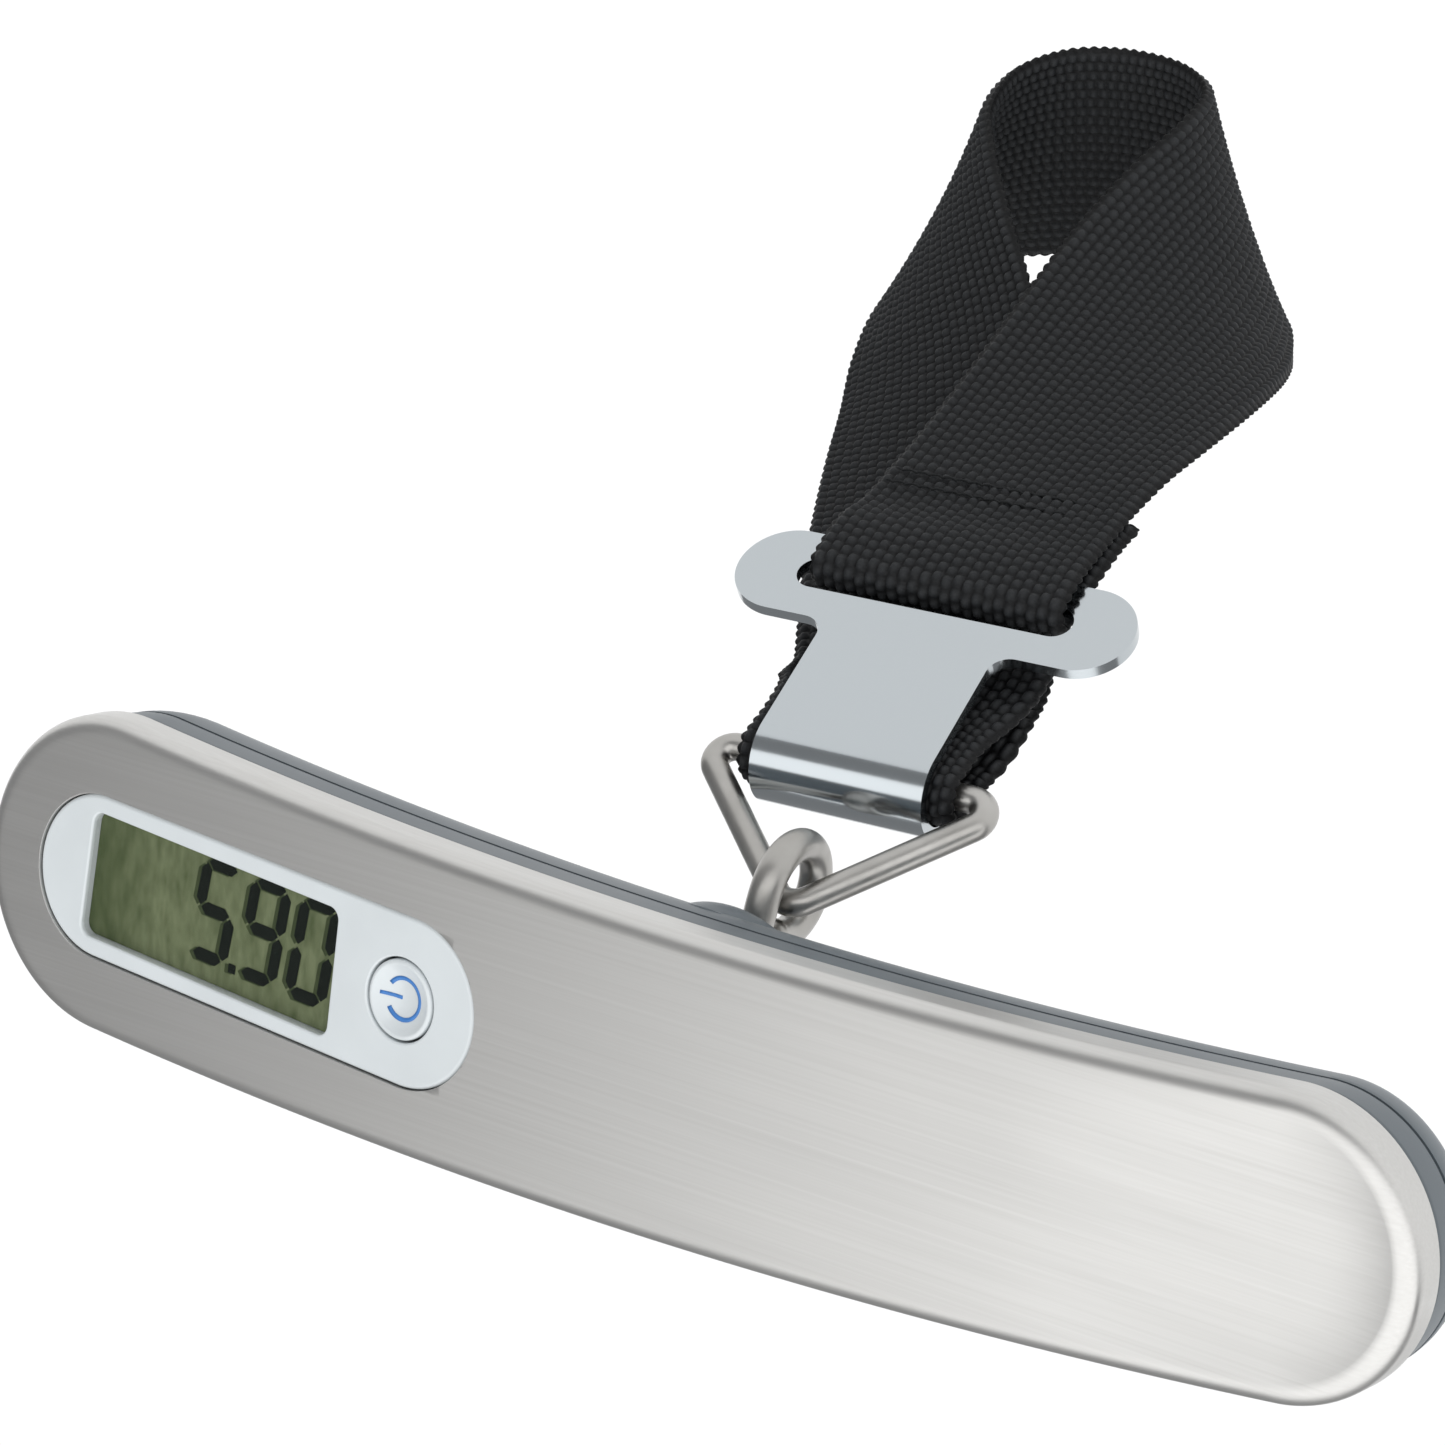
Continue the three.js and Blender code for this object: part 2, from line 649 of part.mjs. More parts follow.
// Rounds each corner of a closed polygon in the ring's plane.
function roundedLoop(corners, radii, steps) {
  const points = [];
  corners.forEach((corner, i) => {
    const before = corners.at(i - 1);
    const after = corners[(i + 1) % corners.length];
    const u = before.clone().sub(corner).normalize();
    const w = after.clone().sub(corner).normalize();
    const half = Math.acos(u.dot(w)) / 2;
    const reach = radii[i] / Math.tan(half);
    const centre = u.clone().add(w).normalize().multiplyScalar(radii[i] / Math.sin(half)).add(corner);
    const start = corner.clone().addScaledVector(u, reach).sub(centre);
    const end = corner.clone().addScaledVector(w, reach).sub(centre);
    const sweep = Math.PI - 2 * half;
    for (let k = 0; k <= steps; k += 1) {
      const a = sweep * (k / steps);
      const spot = start.clone().multiplyScalar(Math.sin(sweep - a) / Math.sin(sweep));
      spot.addScaledVector(end, Math.sin(a) / Math.sin(sweep));
      points.push(spot.add(centre));
    }
  });
  return points;
}

// The ring turns on the eye's lowest wire; its own corners are given from there.
const pivot = hookAt(EYE_OFFSET, EYE_T + EYE_RADIUS);
const ringGroup = new THREE.Group();
ringGroup.position.copy(pivot);
ringGroup.rotation.set(0, RING_TILT, RING_YAW);
scale.add(ringGroup);
const BAR_T = RING_HEIGHT - RING_APEX;
const ringCorners = [
  hanging(0, 0, -RING_APEX),
  hanging(RING_HALF, 0, BAR_T),
  hanging(-RING_HALF, 0, BAR_T),
];
const ringPath = roundedLoop(ringCorners, [2.2, RING_CORNER, RING_CORNER], 7);
addPiece("triangle_ring", wire(ringPath, RING_WIRE, hanging(0, 1, 0), true), wireLook(), ringGroup);

// ---- Clasp ------------------------------------------------------------------

// The clasp and the webbing swing together about the ring's bar.
const claspGroup = new THREE.Group();
claspGroup.position.copy(hanging(0, 0, BAR_T));
claspGroup.rotation.x = CLASP_LEAN;
ringGroup.add(claspGroup);

const CURL_INNER = RING_WIRE + WEBBING_THICK + 0.5;
const SLOT = { t0: 16.5, t1: 20.1, half: 13.6 };
const EAR_T = 18.1;
const EAR_RADIUS = 5.0;

// The curl: a bent strip of sheet round the wrapped bar.
const curlLoops = [];
for (let i = 0; i <= 14; i += 1) {
  const a = THREE.MathUtils.degToRad(-195 * (i / 14));
  const [inner, outer] = [CURL_INNER, CURL_INNER + CLASP_SHEET].map((r) => [
    r * Math.cos(a),
    r * Math.sin(a),
  ]);
  curlLoops.push([
    hanging(-TRUNK_HALF, inner[0], inner[1]),
    hanging(TRUNK_HALF, inner[0], inner[1]),
    hanging(TRUNK_HALF, outer[0], outer[1]),
    hanging(-TRUNK_HALF, outer[0], outer[1]),
  ]);
}
const square = [
  new THREE.Vector2(0, 0),
  new THREE.Vector2(1, 0),
  new THREE.Vector2(1, 1),
  new THREE.Vector2(0, 1),
];
const curl = skin(curlLoops, square);

// The flat T: trunk, filleted shoulders and round ears.
const tee = new THREE.Shape();
tee.moveTo(-TRUNK_HALF, -0.05);
tee.lineTo(TRUNK_HALF, -0.05);
tee.lineTo(TRUNK_HALF, EAR_T - EAR_RADIUS - 2);
tee.quadraticCurveTo(TRUNK_HALF, EAR_T - EAR_RADIUS, TRUNK_HALF + 2, EAR_T - EAR_RADIUS);
tee.lineTo(CLASP_HALF - EAR_RADIUS, EAR_T - EAR_RADIUS);
tee.absarc(CLASP_HALF - EAR_RADIUS, EAR_T, EAR_RADIUS, -Math.PI / 2, Math.PI / 2, false);
tee.lineTo(-CLASP_HALF + EAR_RADIUS, EAR_T + EAR_RADIUS);
tee.absarc(-CLASP_HALF + EAR_RADIUS, EAR_T, EAR_RADIUS, Math.PI / 2, (3 * Math.PI) / 2, false);
tee.lineTo(-TRUNK_HALF - 2, EAR_T - EAR_RADIUS);
tee.quadraticCurveTo(-TRUNK_HALF, EAR_T - EAR_RADIUS, -TRUNK_HALF, EAR_T - EAR_RADIUS - 2);
tee.closePath();
const slotRadius = (SLOT.t1 - SLOT.t0) / 2;
const slotHole = new THREE.Path();
slotHole.moveTo(-SLOT.half + slotRadius, SLOT.t0);
slotHole.lineTo(SLOT.half - slotRadius, SLOT.t0);
slotHole.absarc(SLOT.half - slotRadius, SLOT.t0 + slotRadius, slotRadius, -Math.PI / 2, Math.PI / 2, false);
slotHole.lineTo(-SLOT.half + slotRadius, SLOT.t1);
slotHole.absarc(
  -SLOT.half + slotRadius,
  SLOT.t0 + slotRadius,
  slotRadius,
  Math.PI / 2,
  (3 * Math.PI) / 2,
  false,
);
slotHole.closePath();
tee.holes.push(slotHole);
const teeShape = new THREE.ExtrudeGeometry(tee, {
  depth: CLASP_SHEET,
  bevelEnabled: false,
  curveSegments: 14,
});
// Shape coordinates (x, t) and extrusion v, carried into the part's frame.
const claspBasis = new THREE.Matrix4().makeBasis(
  new THREE.Vector3(-1, 0, 0),
  new THREE.Vector3(0, 0, -1),
  new THREE.Vector3(0, -1, 0),
);
const claspOrigin = hanging(0, CURL_INNER, 0);
claspBasis.setPosition(claspOrigin);
teeShape.applyMatrix4(claspBasis);
const teeSolid = outward(mergeVertices(stripped(teeShape), 1e-4));
const claspLook = material(0xc2c7cc, 0.18, 1);
addPiece("clasp_plate", combine(teeSolid, { add: [curl] }), claspLook, claspGroup);

// ---- Webbing strap ----------------------------------------------------------

// One length of webbing: sewn round the ring's bar, up behind the clasp, round the
// open loop with a half turn, and down in front through the clasp's slot.
const wrap = RING_WIRE + 0.25 + WEBBING_THICK / 2;
const back = CURL_INNER - 0.25 - WEBBING_THICK / 2;
const front = CURL_INNER + CLASP_SHEET + 0.25 + WEBBING_THICK / 2;
// [x, v, t, turn of the width direction, lift of its near edge] in mm and degrees
const stations = [
  [-1.8, -4.2, 17, 5, 14],
  [-0.9, -3.5, 12, 2, 6],
  [0, -3.1, 7.5, 0, 1],
  [0, -2.7, 4, 0, 0],
];
for (let i = 0; i <= 8; i += 1) {
  const a = Math.PI + (Math.PI * i) / 8;
  stations.push([0, wrap * Math.cos(a), wrap * Math.sin(a), 0, 0]);
}
stations.push(
  [0, 1.3, 5, 0, 0],
  [0, 0, 10, 1, 3],
  [-0.7, -1.3, 14, 3, 10],
  [-2, -2.6, 18.5, 6, 17],
  [-4.5, -3.3, 24, 8, 23],
  [-7.8, -4, 31, 11, 25],
  [-11.4, -4.8, 39, 17, 25],
  [-15.3, -5.3, 48, 25, 25],
  [-19.3, -5.2, 57, 36, 24],
  [-23.3, -4.9, 65, 46, 21],
  [-26.5, -5, 73, 55, 16],
  [-27.7, -5.6, 80, 64, 12],
  [-25.7, -7, 87, 74, 9],
  [-20.8, -8.4, 92, 82, 9],
  [-14, -9.2, 94, 88, 9],
  [-6.8, -9.1, 93, 92, 8],
  [-1, -8.2, 89, 100, 6],
  [1.7, -6.6, 82.5, 114, 5],
  [2.3, -4.8, 74, 134, 3],
  [2.3, -2.9, 65, 152, 2],
  [2.1, -1, 56, 165, 2],
  [1.6, 0.5, 48, 174, 3],
  [1, 1.7, 41, 180, 3],
  [0.4, 2.6, 34.5, 182, 1],
  [0.1, 3.5, 29, 182, 0],
  [0, 4.6, 25.5, 180, 0],
  [0, front, 22.8, 180, 0],
);
const slotMiddle = (front + back) / 2;
const fold = (front - back) / 2;
for (let i = 0; i <= 8; i += 1) {
  const a = (-Math.PI * i) / 8;
  const t = SLOT.t1 - 0.4 + fold * 0.75 * Math.sin(a);
  stations.push([0, slotMiddle + fold * Math.cos(a), t, 180, 0]);
}
stations.push([0, back, 23.8, 180, 0], [0.3, 1.9, 28, 181, 0], [0.6, 1.4, 32, 182, 1], [1, 1, 35, 182, 2]);

// The webbing keeps its drawn-in width round the ring and widens above it.
function widthAt(t) {
  return THREE.MathUtils.lerp(WEBBING_SEWN, WEBBING, THREE.MathUtils.smoothstep(t, 3, 14));
}

function ribbon(rows, thickness) {
  const path = new THREE.CatmullRomCurve3(rows.map(([x, v, t]) => hanging(x, v, t)));
  const blend = (from, mix, index) => THREE.MathUtils.lerp(rows[from][index], rows[from + 1][index], mix);
  const perStation = 2;
  const steps = (rows.length - 1) * perStation;
  const loops = [];
  for (let i = 0; i <= steps; i += 1) {
    const from = Math.min(Math.floor(i / perStation), rows.length - 2);
    const mix = i / perStation - from;
    const turn = THREE.MathUtils.degToRad(blend(from, mix, 3));
    const lift = THREE.MathUtils.degToRad(blend(from, mix, 4));
    const width = widthAt(blend(from, mix, 2));
    const centre = path.getPoint(i / steps);
    const along = path.getTangent(i / steps);
    const level = Math.cos(lift);
    const wide = hanging(Math.cos(turn) * level, Math.sin(turn) * level, Math.sin(lift));
    wide.addScaledVector(along, -wide.dot(along)).normalize();
    const thin = new THREE.Vector3().crossVectors(along, wide);
    const corner = (w, h) =>
      centre
        .clone()
        .addScaledVector(wide, w * (width / 2))
        .addScaledVector(thin, h * (thickness / 2));
    loops.push([corner(-1, -1), corner(0, -1), corner(1, -1), corner(1, 1), corner(0, 1), corner(-1, 1)]);
  }
  const section = [
    [-1, -1],
    [0, -1],
    [1, -1],
    [1, 1],
    [0, 1],
    [-1, 1],
  ].map(([w, h]) => new THREE.Vector2(w, h));
  return skin(loops, section);
}
addPiece("strap", ribbon(stations, WEBBING_THICK), material(0x232527, 0.9), claspGroup);

export default scale;
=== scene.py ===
"""Looks of the digital luggage scale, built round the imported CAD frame."""

import json
import math

import bmesh
import bpy
import numpy as np
from mathutils import Matrix, Vector


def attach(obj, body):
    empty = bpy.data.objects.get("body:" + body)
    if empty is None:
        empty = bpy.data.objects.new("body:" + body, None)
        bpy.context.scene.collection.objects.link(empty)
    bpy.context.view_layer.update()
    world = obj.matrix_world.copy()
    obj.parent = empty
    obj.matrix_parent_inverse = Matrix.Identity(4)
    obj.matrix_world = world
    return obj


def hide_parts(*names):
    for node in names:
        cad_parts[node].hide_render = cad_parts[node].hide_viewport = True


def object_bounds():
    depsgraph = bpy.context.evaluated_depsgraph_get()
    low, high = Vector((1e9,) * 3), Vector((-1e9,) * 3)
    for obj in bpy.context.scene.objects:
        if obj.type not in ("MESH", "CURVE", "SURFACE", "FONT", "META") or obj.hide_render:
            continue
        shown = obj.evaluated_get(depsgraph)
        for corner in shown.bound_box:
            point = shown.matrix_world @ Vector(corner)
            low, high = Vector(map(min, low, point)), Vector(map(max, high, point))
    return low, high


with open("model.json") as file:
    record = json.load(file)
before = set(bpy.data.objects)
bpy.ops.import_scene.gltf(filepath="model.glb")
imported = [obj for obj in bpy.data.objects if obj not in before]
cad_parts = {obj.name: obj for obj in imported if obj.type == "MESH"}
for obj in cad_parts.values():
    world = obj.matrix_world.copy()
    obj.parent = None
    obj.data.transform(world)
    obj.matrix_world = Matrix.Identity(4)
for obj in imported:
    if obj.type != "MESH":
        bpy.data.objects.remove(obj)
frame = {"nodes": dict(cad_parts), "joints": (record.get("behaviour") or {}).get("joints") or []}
CAD_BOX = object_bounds()

MM = 0.001
joints = {joint["name"]: joint for joint in frame["joints"]}

# ---- The grip's own frame: x along it, u towards the hook side, n out of the plate ----

GRIP_N = -Vector(joints["button_press"]["axis"]).normalized()
GRIP_X = Vector((-1, 0, 0))
GRIP_U = GRIP_N.cross(GRIP_X)
AXIS_DEPTH = 8.2  # the hook's axis crosses the grip this far behind the plate's face, mm

LENGTH = 150.0
BEND = 650.0  # radius of the grip's middle line
HALF_LEFT = 14.8  # half the grip's height at the display end
HALF_RIGHT = 12.3  # and at the plain end
PLATE_SIDE = 3.7  # how far the plate's side reaches back
PLATE_BEND = 1.6
SHEET = 0.6
CASING_IN = 0.6  # the casing's widest line lies this far inside the plate's outline
WALL = 1.5
SPLIT = -7.6  # where the two casing halves meet
PANEL_AT = -41.8  # middle of the display panel, along the grip
PANEL_HALF = (26.25, 7.65)
PANEL_GAP = 0.07
WINDOW_AT = PANEL_AT - 5.2
WINDOW_HALF = (15.1, 5.9)
BUTTON_AT = PANEL_AT + 17.8
BUTTON_R = 3.6


def grip(x, u, n):
    """A point of the grip, in millimetres of its own frame, in the row frame."""
    return (GRIP_X * x + GRIP_U * u + GRIP_N * (n + AXIS_DEPTH)) * MM


def on_grip(along, up):
    """Bends (along, up) on the straight grip to the curved one."""
    angle = along / BEND
    radius = BEND - up
    return radius * math.sin(angle), BEND - radius * math.cos(angle)


def hang(x, v, t):
    """A point in hanging millimetres: x across, v forwards, t down from the grip's middle."""
    return Vector((-x, -v, -t)) * MM


# ---- Mesh helpers ------------------------------------------------------------


def make_object(name, verts, faces, material=None, smooth=True):
    mesh = bpy.data.meshes.new(name)
    mesh.from_pydata([tuple(v) for v in verts], [], faces)
    mesh.update()
    work = bmesh.new()
    work.from_mesh(mesh)
    bmesh.ops.recalc_face_normals(work, faces=work.faces)
    work.to_mesh(mesh)
    work.free()
    mesh.polygons.foreach_set("use_smooth", [smooth] * len(mesh.polygons))
    obj = bpy.data.objects.new(name, mesh)
    bpy.context.scene.collection.objects.link(obj)
    if material:
        mesh.materials.append(material)
    return obj


def loft(name, loops, material=None, closed=False, lid=None):
    """Skins equal loops in order; open lofts are capped at both ends, the last one with lid's faces."""
    count = len(loops[0])
    verts = [p for loop in loops for p in loop]
    faces = []
    bands = len(loops) if closed else len(loops) - 1
    for band in range(bands):
        a = band * count
        b = ((band + 1) % len(loops)) * count
        for i in range(count):
            j = (i + 1) % count
            faces.append((a + i, a + j, b + j, b + i))
    if not closed:
        faces.append(tuple(range(count)))
        last = (len(loops) - 1) * count
        faces += [tuple(last + i for i in face) for face in lid or [range(count)]]
    return make_object(name, verts, faces, material)


def cut(target, tool, operation="DIFFERENCE"):
    """Applies an exact boolean and drops the tool."""
    modifier = target.modifiers.new("cut", "BOOLEAN")
    modifier.operation = operation
    modifier.solver = "EXACT"
    modifier.object = tool
    apply_modifiers(target)
    bpy.data.objects.remove(tool)


def apply_modifiers(obj):
    depsgraph = bpy.context.evaluated_depsgraph_get()
    mesh = bpy.data.meshes.new_from_object(obj.evaluated_get(depsgraph))
    obj.modifiers.clear()
    obj.data = mesh


def finish_edges(obj, width=0.1, segments=2, angle=35, crisp=False):
    """Rounds the sharp edges a little and keeps flat faces flat in the shading."""
    bevel = obj.modifiers.new("edge", "BEVEL")
    bevel.width = width * MM
    bevel.segments = segments
    bevel.limit_method = "ANGLE"
    bevel.angle_limit = math.radians(angle)
    bevel.harden_normals = crisp
    if crisp:
        return
    weighted = obj.modifiers.new("normals", "WEIGHTED_NORMAL")
    weighted.keep_sharp = True
    weighted.weight = 60


def prism(name, outline, n0, n1, material=None):
    loops = [[grip(x, u, n) for x, u in outline] for n in (n0, n1)]
    return loft(name, loops, material)


def round_bar(name, start, end, radius, segments=48):
    """A round bar between two points, in metres."""
    axis = (end - start).normalized()
    side = axis.orthogonal().normalized()
    other = axis.cross(side)
    loops = []
    for centre in (start, end):
        loops.append(
            [
                centre + (side * math.cos(a) + other * math.sin(a)) * radius
                for a in (2 * math.pi * k / segments for k in range(segments))
            ]
        )
    return loft(name, loops)


def lathe(name, profile, origin, axis, segments=64, material=None):
    """Turns (radius, height) pairs, in millimetres, about an axis from origin."""
    axis = axis.normalized()
    side = axis.orthogonal().normalized()
    other = axis.cross(side)
    verts = []
    faces = []
    rings = []
    for radius, height in profile:
        centre = origin + axis * height * MM
        if radius < 1e-6:
            rings.append([len(verts)])
            verts.append(centre)
            continue
        ring = []
        for k in range(segments):
            a = 2 * math.pi * k / segments
            ring.append(len(verts))
            verts.append(centre + (side * math.cos(a) + other * math.sin(a)) * radius * MM)
        rings.append(ring)
    for one, two in zip(rings, rings[1:]):
        for k in range(segments):
            j = (k + 1) % segments
            if len(one) == 1 and len(two) == 1:
                break
            if len(one) == 1:
                faces.append((one[0], two[k], two[j]))
            elif len(two) == 1:
                faces.append((one[k], one[j], two[0]))
            else:
                faces.append((one[k], one[j], two[j], two[k]))
    return make_object(name, verts, faces, material)


# ---- Outlines ----------------------------------------------------------------


def grip_outline(inset, tuck=0.0, side_steps=56, end_steps=56):
    """The grip seen face on, inset all round, with its ends tucked in further."""
    left = -LENGTH / 2 + HALF_LEFT + tuck
    right = LENGTH / 2 - HALF_RIGHT - tuck
    points = []
    for i in range(end_steps + 1):
        a = -math.pi / 2 + math.pi * i / end_steps
        r = HALF_RIGHT - inset
        points.append(on_grip(right + r * math.cos(a), r * math.sin(a)))
    for i in range(1, side_steps):
        k = i / side_steps
        half = HALF_RIGHT + (HALF_LEFT - HALF_RIGHT) * k - inset
        points.append(on_grip(right + (left - right) * k, half))
    for i in range(end_steps + 1):
        a = math.pi / 2 + math.pi * i / end_steps
        r = HALF_LEFT - inset
        points.append(on_grip(left + r * math.cos(a), r * math.sin(a)))
    for i in range(1, side_steps):
        k = i / side_steps
        half = HALF_LEFT + (HALF_RIGHT - HALF_LEFT) * k - inset
        points.append(on_grip(left + (right - left) * k, -half))
    return points


def rounded_outline(centre, half_long, half_high, corner, steps=16):
    points = []
    for sx, sy, start in ((1, -1, -90), (1, 1, 0), (-1, 1, 90), (-1, -1, 180)):
        for i in range(steps + 1):
            a = math.radians(start + 90 * i / steps)
            along = centre + sx * (half_long - corner) + corner * math.cos(a)
            up = sy * (half_high - corner) + corner * math.sin(a)
            point = on_grip(along, up)
            if not points or math.dist(point, points[-1]) > 1e-3:
                points.append(point)
    if math.dist(points[0], points[-1]) < 1e-3:
        points.pop()
    return points


# ---- Materials ---------------------------------------------------------------


class Look:
    """A Principled material with short calls for what feeds it."""

    def __init__(self, name, color, roughness, metallic=0.0, **values):
        self.material = bpy.data.materials.new(name)
        self.material.use_nodes = True
        self.nodes = self.material.node_tree.nodes
        self.links = self.material.node_tree.links
        self.shader = self.nodes["Principled BSDF"]
        self.set("Base Color", (*color, 1))
        self.set("Roughness", roughness)
        self.set("Metallic", metallic)
        for key, value in values.items():
            self.set(key.replace("_", " "), value)

    def set(self, socket, value):
        self.shader.inputs[socket].default_value = value

    def node(self, kind, **values):
        node = self.nodes.new(kind)
        for key, value in values.items():
            if key in node.inputs:
                node.inputs[key].default_value = value
            else:
                setattr(node, key, value)
        return node

    def coords(self, scale):
        place = self.node("ShaderNodeTexCoord")
        mapping = self.node("ShaderNodeMapping", Scale=scale)
        self.links.new(place.outputs["Object"], mapping.inputs["Vector"])
        return mapping.outputs["Vector"]

    def noise(self, scale=1.0, detail=4.0, stretch=(1, 1, 1)):
        texture = self.node("ShaderNodeTexNoise", Scale=scale, Detail=detail)
        self.links.new(self.coords(stretch), texture.inputs["Vector"])
        return texture.outputs["Fac"]

    def ramp(self, value, low, high, start=0.3, end=0.7):
        ramp = self.node("ShaderNodeMapRange")
        ramp.inputs["From Min"].default_value = start
        ramp.inputs["From Max"].default_value = end
        ramp.inputs["To Min"].default_value = low
        ramp.inputs["To Max"].default_value = high
        self.links.new(value, ramp.inputs["Value"])
        return ramp.outputs["Result"]

    def tint(self, value, low, high, start=0.3, end=0.7):
        ramp = self.node("ShaderNodeValToRGB")
        ramp.color_ramp.elements[0].position = start
        ramp.color_ramp.elements[0].color = (*low, 1)
        ramp.color_ramp.elements[1].position = end
        ramp.color_ramp.elements[1].color = (*high, 1)
        self.links.new(value, ramp.inputs["Fac"])
        self.links.new(ramp.outputs["Color"], self.shader.inputs["Base Color"])

    def feed(self, value, socket):
        self.links.new(value, self.shader.inputs[socket])

    def bump(self, value, strength, distance):
        bump = self.node("ShaderNodeBump", Strength=strength, Distance=distance)
        self.links.new(value, bump.inputs["Height"])
        self.links.new(bump.outputs["Normal"], self.shader.inputs["Normal"])


def brushed_steel():
    look = Look("brushed_steel", (0.62, 0.615, 0.6), 0.3, 1.0, Anisotropic=0.55)
    fine = look.noise(1.0, 3, (14, 3800, 3800))
    broad = look.noise(1.0, 2, (30, 260, 260))
    look.tint(fine, (0.575, 0.568, 0.55), (0.635, 0.63, 0.613), 0.2, 0.8)
    look.feed(look.ramp(broad, 0.32, 0.36), "Roughness")
    look.bump(fine, 0.04, 0.00002)
    tangent = look.node("ShaderNodeTangent", direction_type="RADIAL", axis="X")
    look.feed(tangent.outputs["Tangent"], "Tangent")
    return look.material


def wire_steel():
    look = Look("wire_steel", (0.42, 0.41, 0.39), 0.34, 1.0)
    drawn = look.noise(900, 3)
    blotch = look.noise(160, 4)
    look.tint(blotch, (0.38, 0.37, 0.35), (0.47, 0.46, 0.44))
    look.feed(look.ramp(drawn, 0.3, 0.4), "Roughness")
    look.bump(drawn, 0.03, 0.00002)
    return look.material


def chrome():
    look = Look("chrome_plate", (0.49, 0.525, 0.545), 0.16, 1.0)
    smear = look.noise(90, 5)
    fine = look.noise(1400, 2)
    look.feed(look.ramp(smear, 0.13, 0.18), "Roughness")
    look.bump(fine, 0.05, 0.00002)
    return look.material


def casing_plastic():
    look = Look("casing_plastic", (0.105, 0.125, 0.14), 0.42)
    grain = look.noise(2600, 3)
    worn = look.noise(70, 4)
    look.tint(worn, (0.098, 0.117, 0.131), (0.115, 0.136, 0.152))
    look.feed(look.ramp(worn, 0.36, 0.46), "Roughness")
    look.bump(grain, 0.18, 0.00003)
    return look.material


def white_plastic():
    color = (0.615, 0.655, 0.67)
    look = Look("white_plastic", color, 0.28, Coat_Weight=0.3, Coat_Roughness=0.12)
    haze = look.noise(120, 3)
    look.tint(haze, tuple(c * 0.97 for c in color), tuple(c * 1.03 for c in color))
    look.bump(look.noise(1800, 2), 0.05, 0.00002)
    return look.material


def window_clear():
    look = Look("window_clear", (0.03, 0.04, 0.035), 0.03, Alpha=0.08, Specular_IOR_Level=0.4)
    look.feed(look.ramp(look.noise(60, 3), 0.02, 0.06), "Roughness")
    return look.material


def lcd_green():
    look = Look("lcd_green", (0.17, 0.21, 0.1), 0.35, Specular_IOR_Level=0.15)
    mottle = look.noise(1.0, 6, (900, 420, 160))
    # Painted shade: the display's green is multiplied down toward the window's end at high object x,
    # darker there as if shaded.
    across = look.node("ShaderNodeSeparateXYZ")
    look.links.new(look.coords((1, 1, 1)), across.inputs["Vector"])
    shade = look.node("ShaderNodeMath", operation="MULTIPLY")
    look.links.new(mottle, shade.inputs[0])
    look.links.new(look.ramp(across.outputs["X"], 1.0, 0.45, 0.054, 0.0615), shade.inputs[1])
    look.tint(shade.outputs["Value"], (0.06, 0.083, 0.03), (0.19, 0.222, 0.118), 0.15, 0.65)
    look.bump(look.noise(3000, 2), 0.1, 0.00003)
    return look.material


def webbing_look():
    look = Look("webbing", (0.013, 0.014, 0.015), 0.6, Specular_IOR_Level=0.22)
    # Painted shade: the weave's colour is dark in the gaps between beads and lighter on their tops, read
    # from the bead height.
    relief_and_painted_shade = look.node("ShaderNodeAttribute", attribute_name="relief_and_painted_shade")
    look.tint(relief_and_painted_shade.outputs["Fac"], (0.003, 0.0032, 0.0036), (0.021, 0.0225, 0.0245), 0.1, 0.85)
    fibre = look.noise(1.0, 4, (2600, 2600, 5200))
    look.feed(look.ramp(fibre, 0.5, 0.75), "Roughness")
    look.bump(fibre, 0.5, 0.00006)
    return look.material


def flat_look(name, color, roughness, metallic=0.0, grain=900, spread=0.12, shine=0.5):
    """One colour with a fine speckle in it."""
    look = Look(name, color, roughness, metallic, Specular_IOR_Level=shine)
    speckle = look.noise(grain, 4)
    low = tuple(c * (1 - spread) for c in color)
    high = tuple(min(c * (1 + spread), 1) for c in color)
    look.tint(speckle, low, high)
    look.bump(speckle, 0.15, 0.00003)
    return look.material


STEEL = brushed_steel()
WIRE = wire_steel()
CHROME = chrome()
CASING = casing_plastic()
WHITE = white_plastic()
CLEAR = window_clear()
LCD = lcd_green()
WEB = webbing_look()
THREAD = flat_look("thread", (0.012, 0.013, 0.014), 0.75, shine=0.2)
INK = flat_look("lcd_ink", (0.007, 0.009, 0.007), 0.4, shine=0.05)
# Painted shadow of the digits: a dark green for copies of them laid on the display behind the digits.
DIGIT_SHADOW_PAINT = flat_look("lcd_shadow", (0.05, 0.066, 0.028), 0.5, shine=0.1)
BLUE = flat_look("icon_blue", (0.045, 0.19, 0.52), 0.35)
ZINC = flat_look("zinc_plate", (0.55, 0.56, 0.57), 0.3, 1.0)
ALLOY = flat_look("cell_alloy", (0.6, 0.61, 0.63), 0.35, 1.0)
BOARD = flat_look("board_green", (0.015, 0.1, 0.045), 0.5)
BLACK = flat_look("black_plastic", (0.015, 0.015, 0.017), 0.5)
PINK = flat_look("connector_rubber", (0.6, 0.42, 0.46), 0.8)
BRASS = flat_look("sprung_brass", (0.6, 0.45, 0.18), 0.35, 1.0)
AMBER = flat_look("gauge_film", (0.4, 0.17, 0.05), 0.45)


def dress(node, material):
    """Gives a CAD piece a material."""
    mesh = frame["nodes"][node].data
    mesh.materials.clear()
    mesh.materials.append(material)


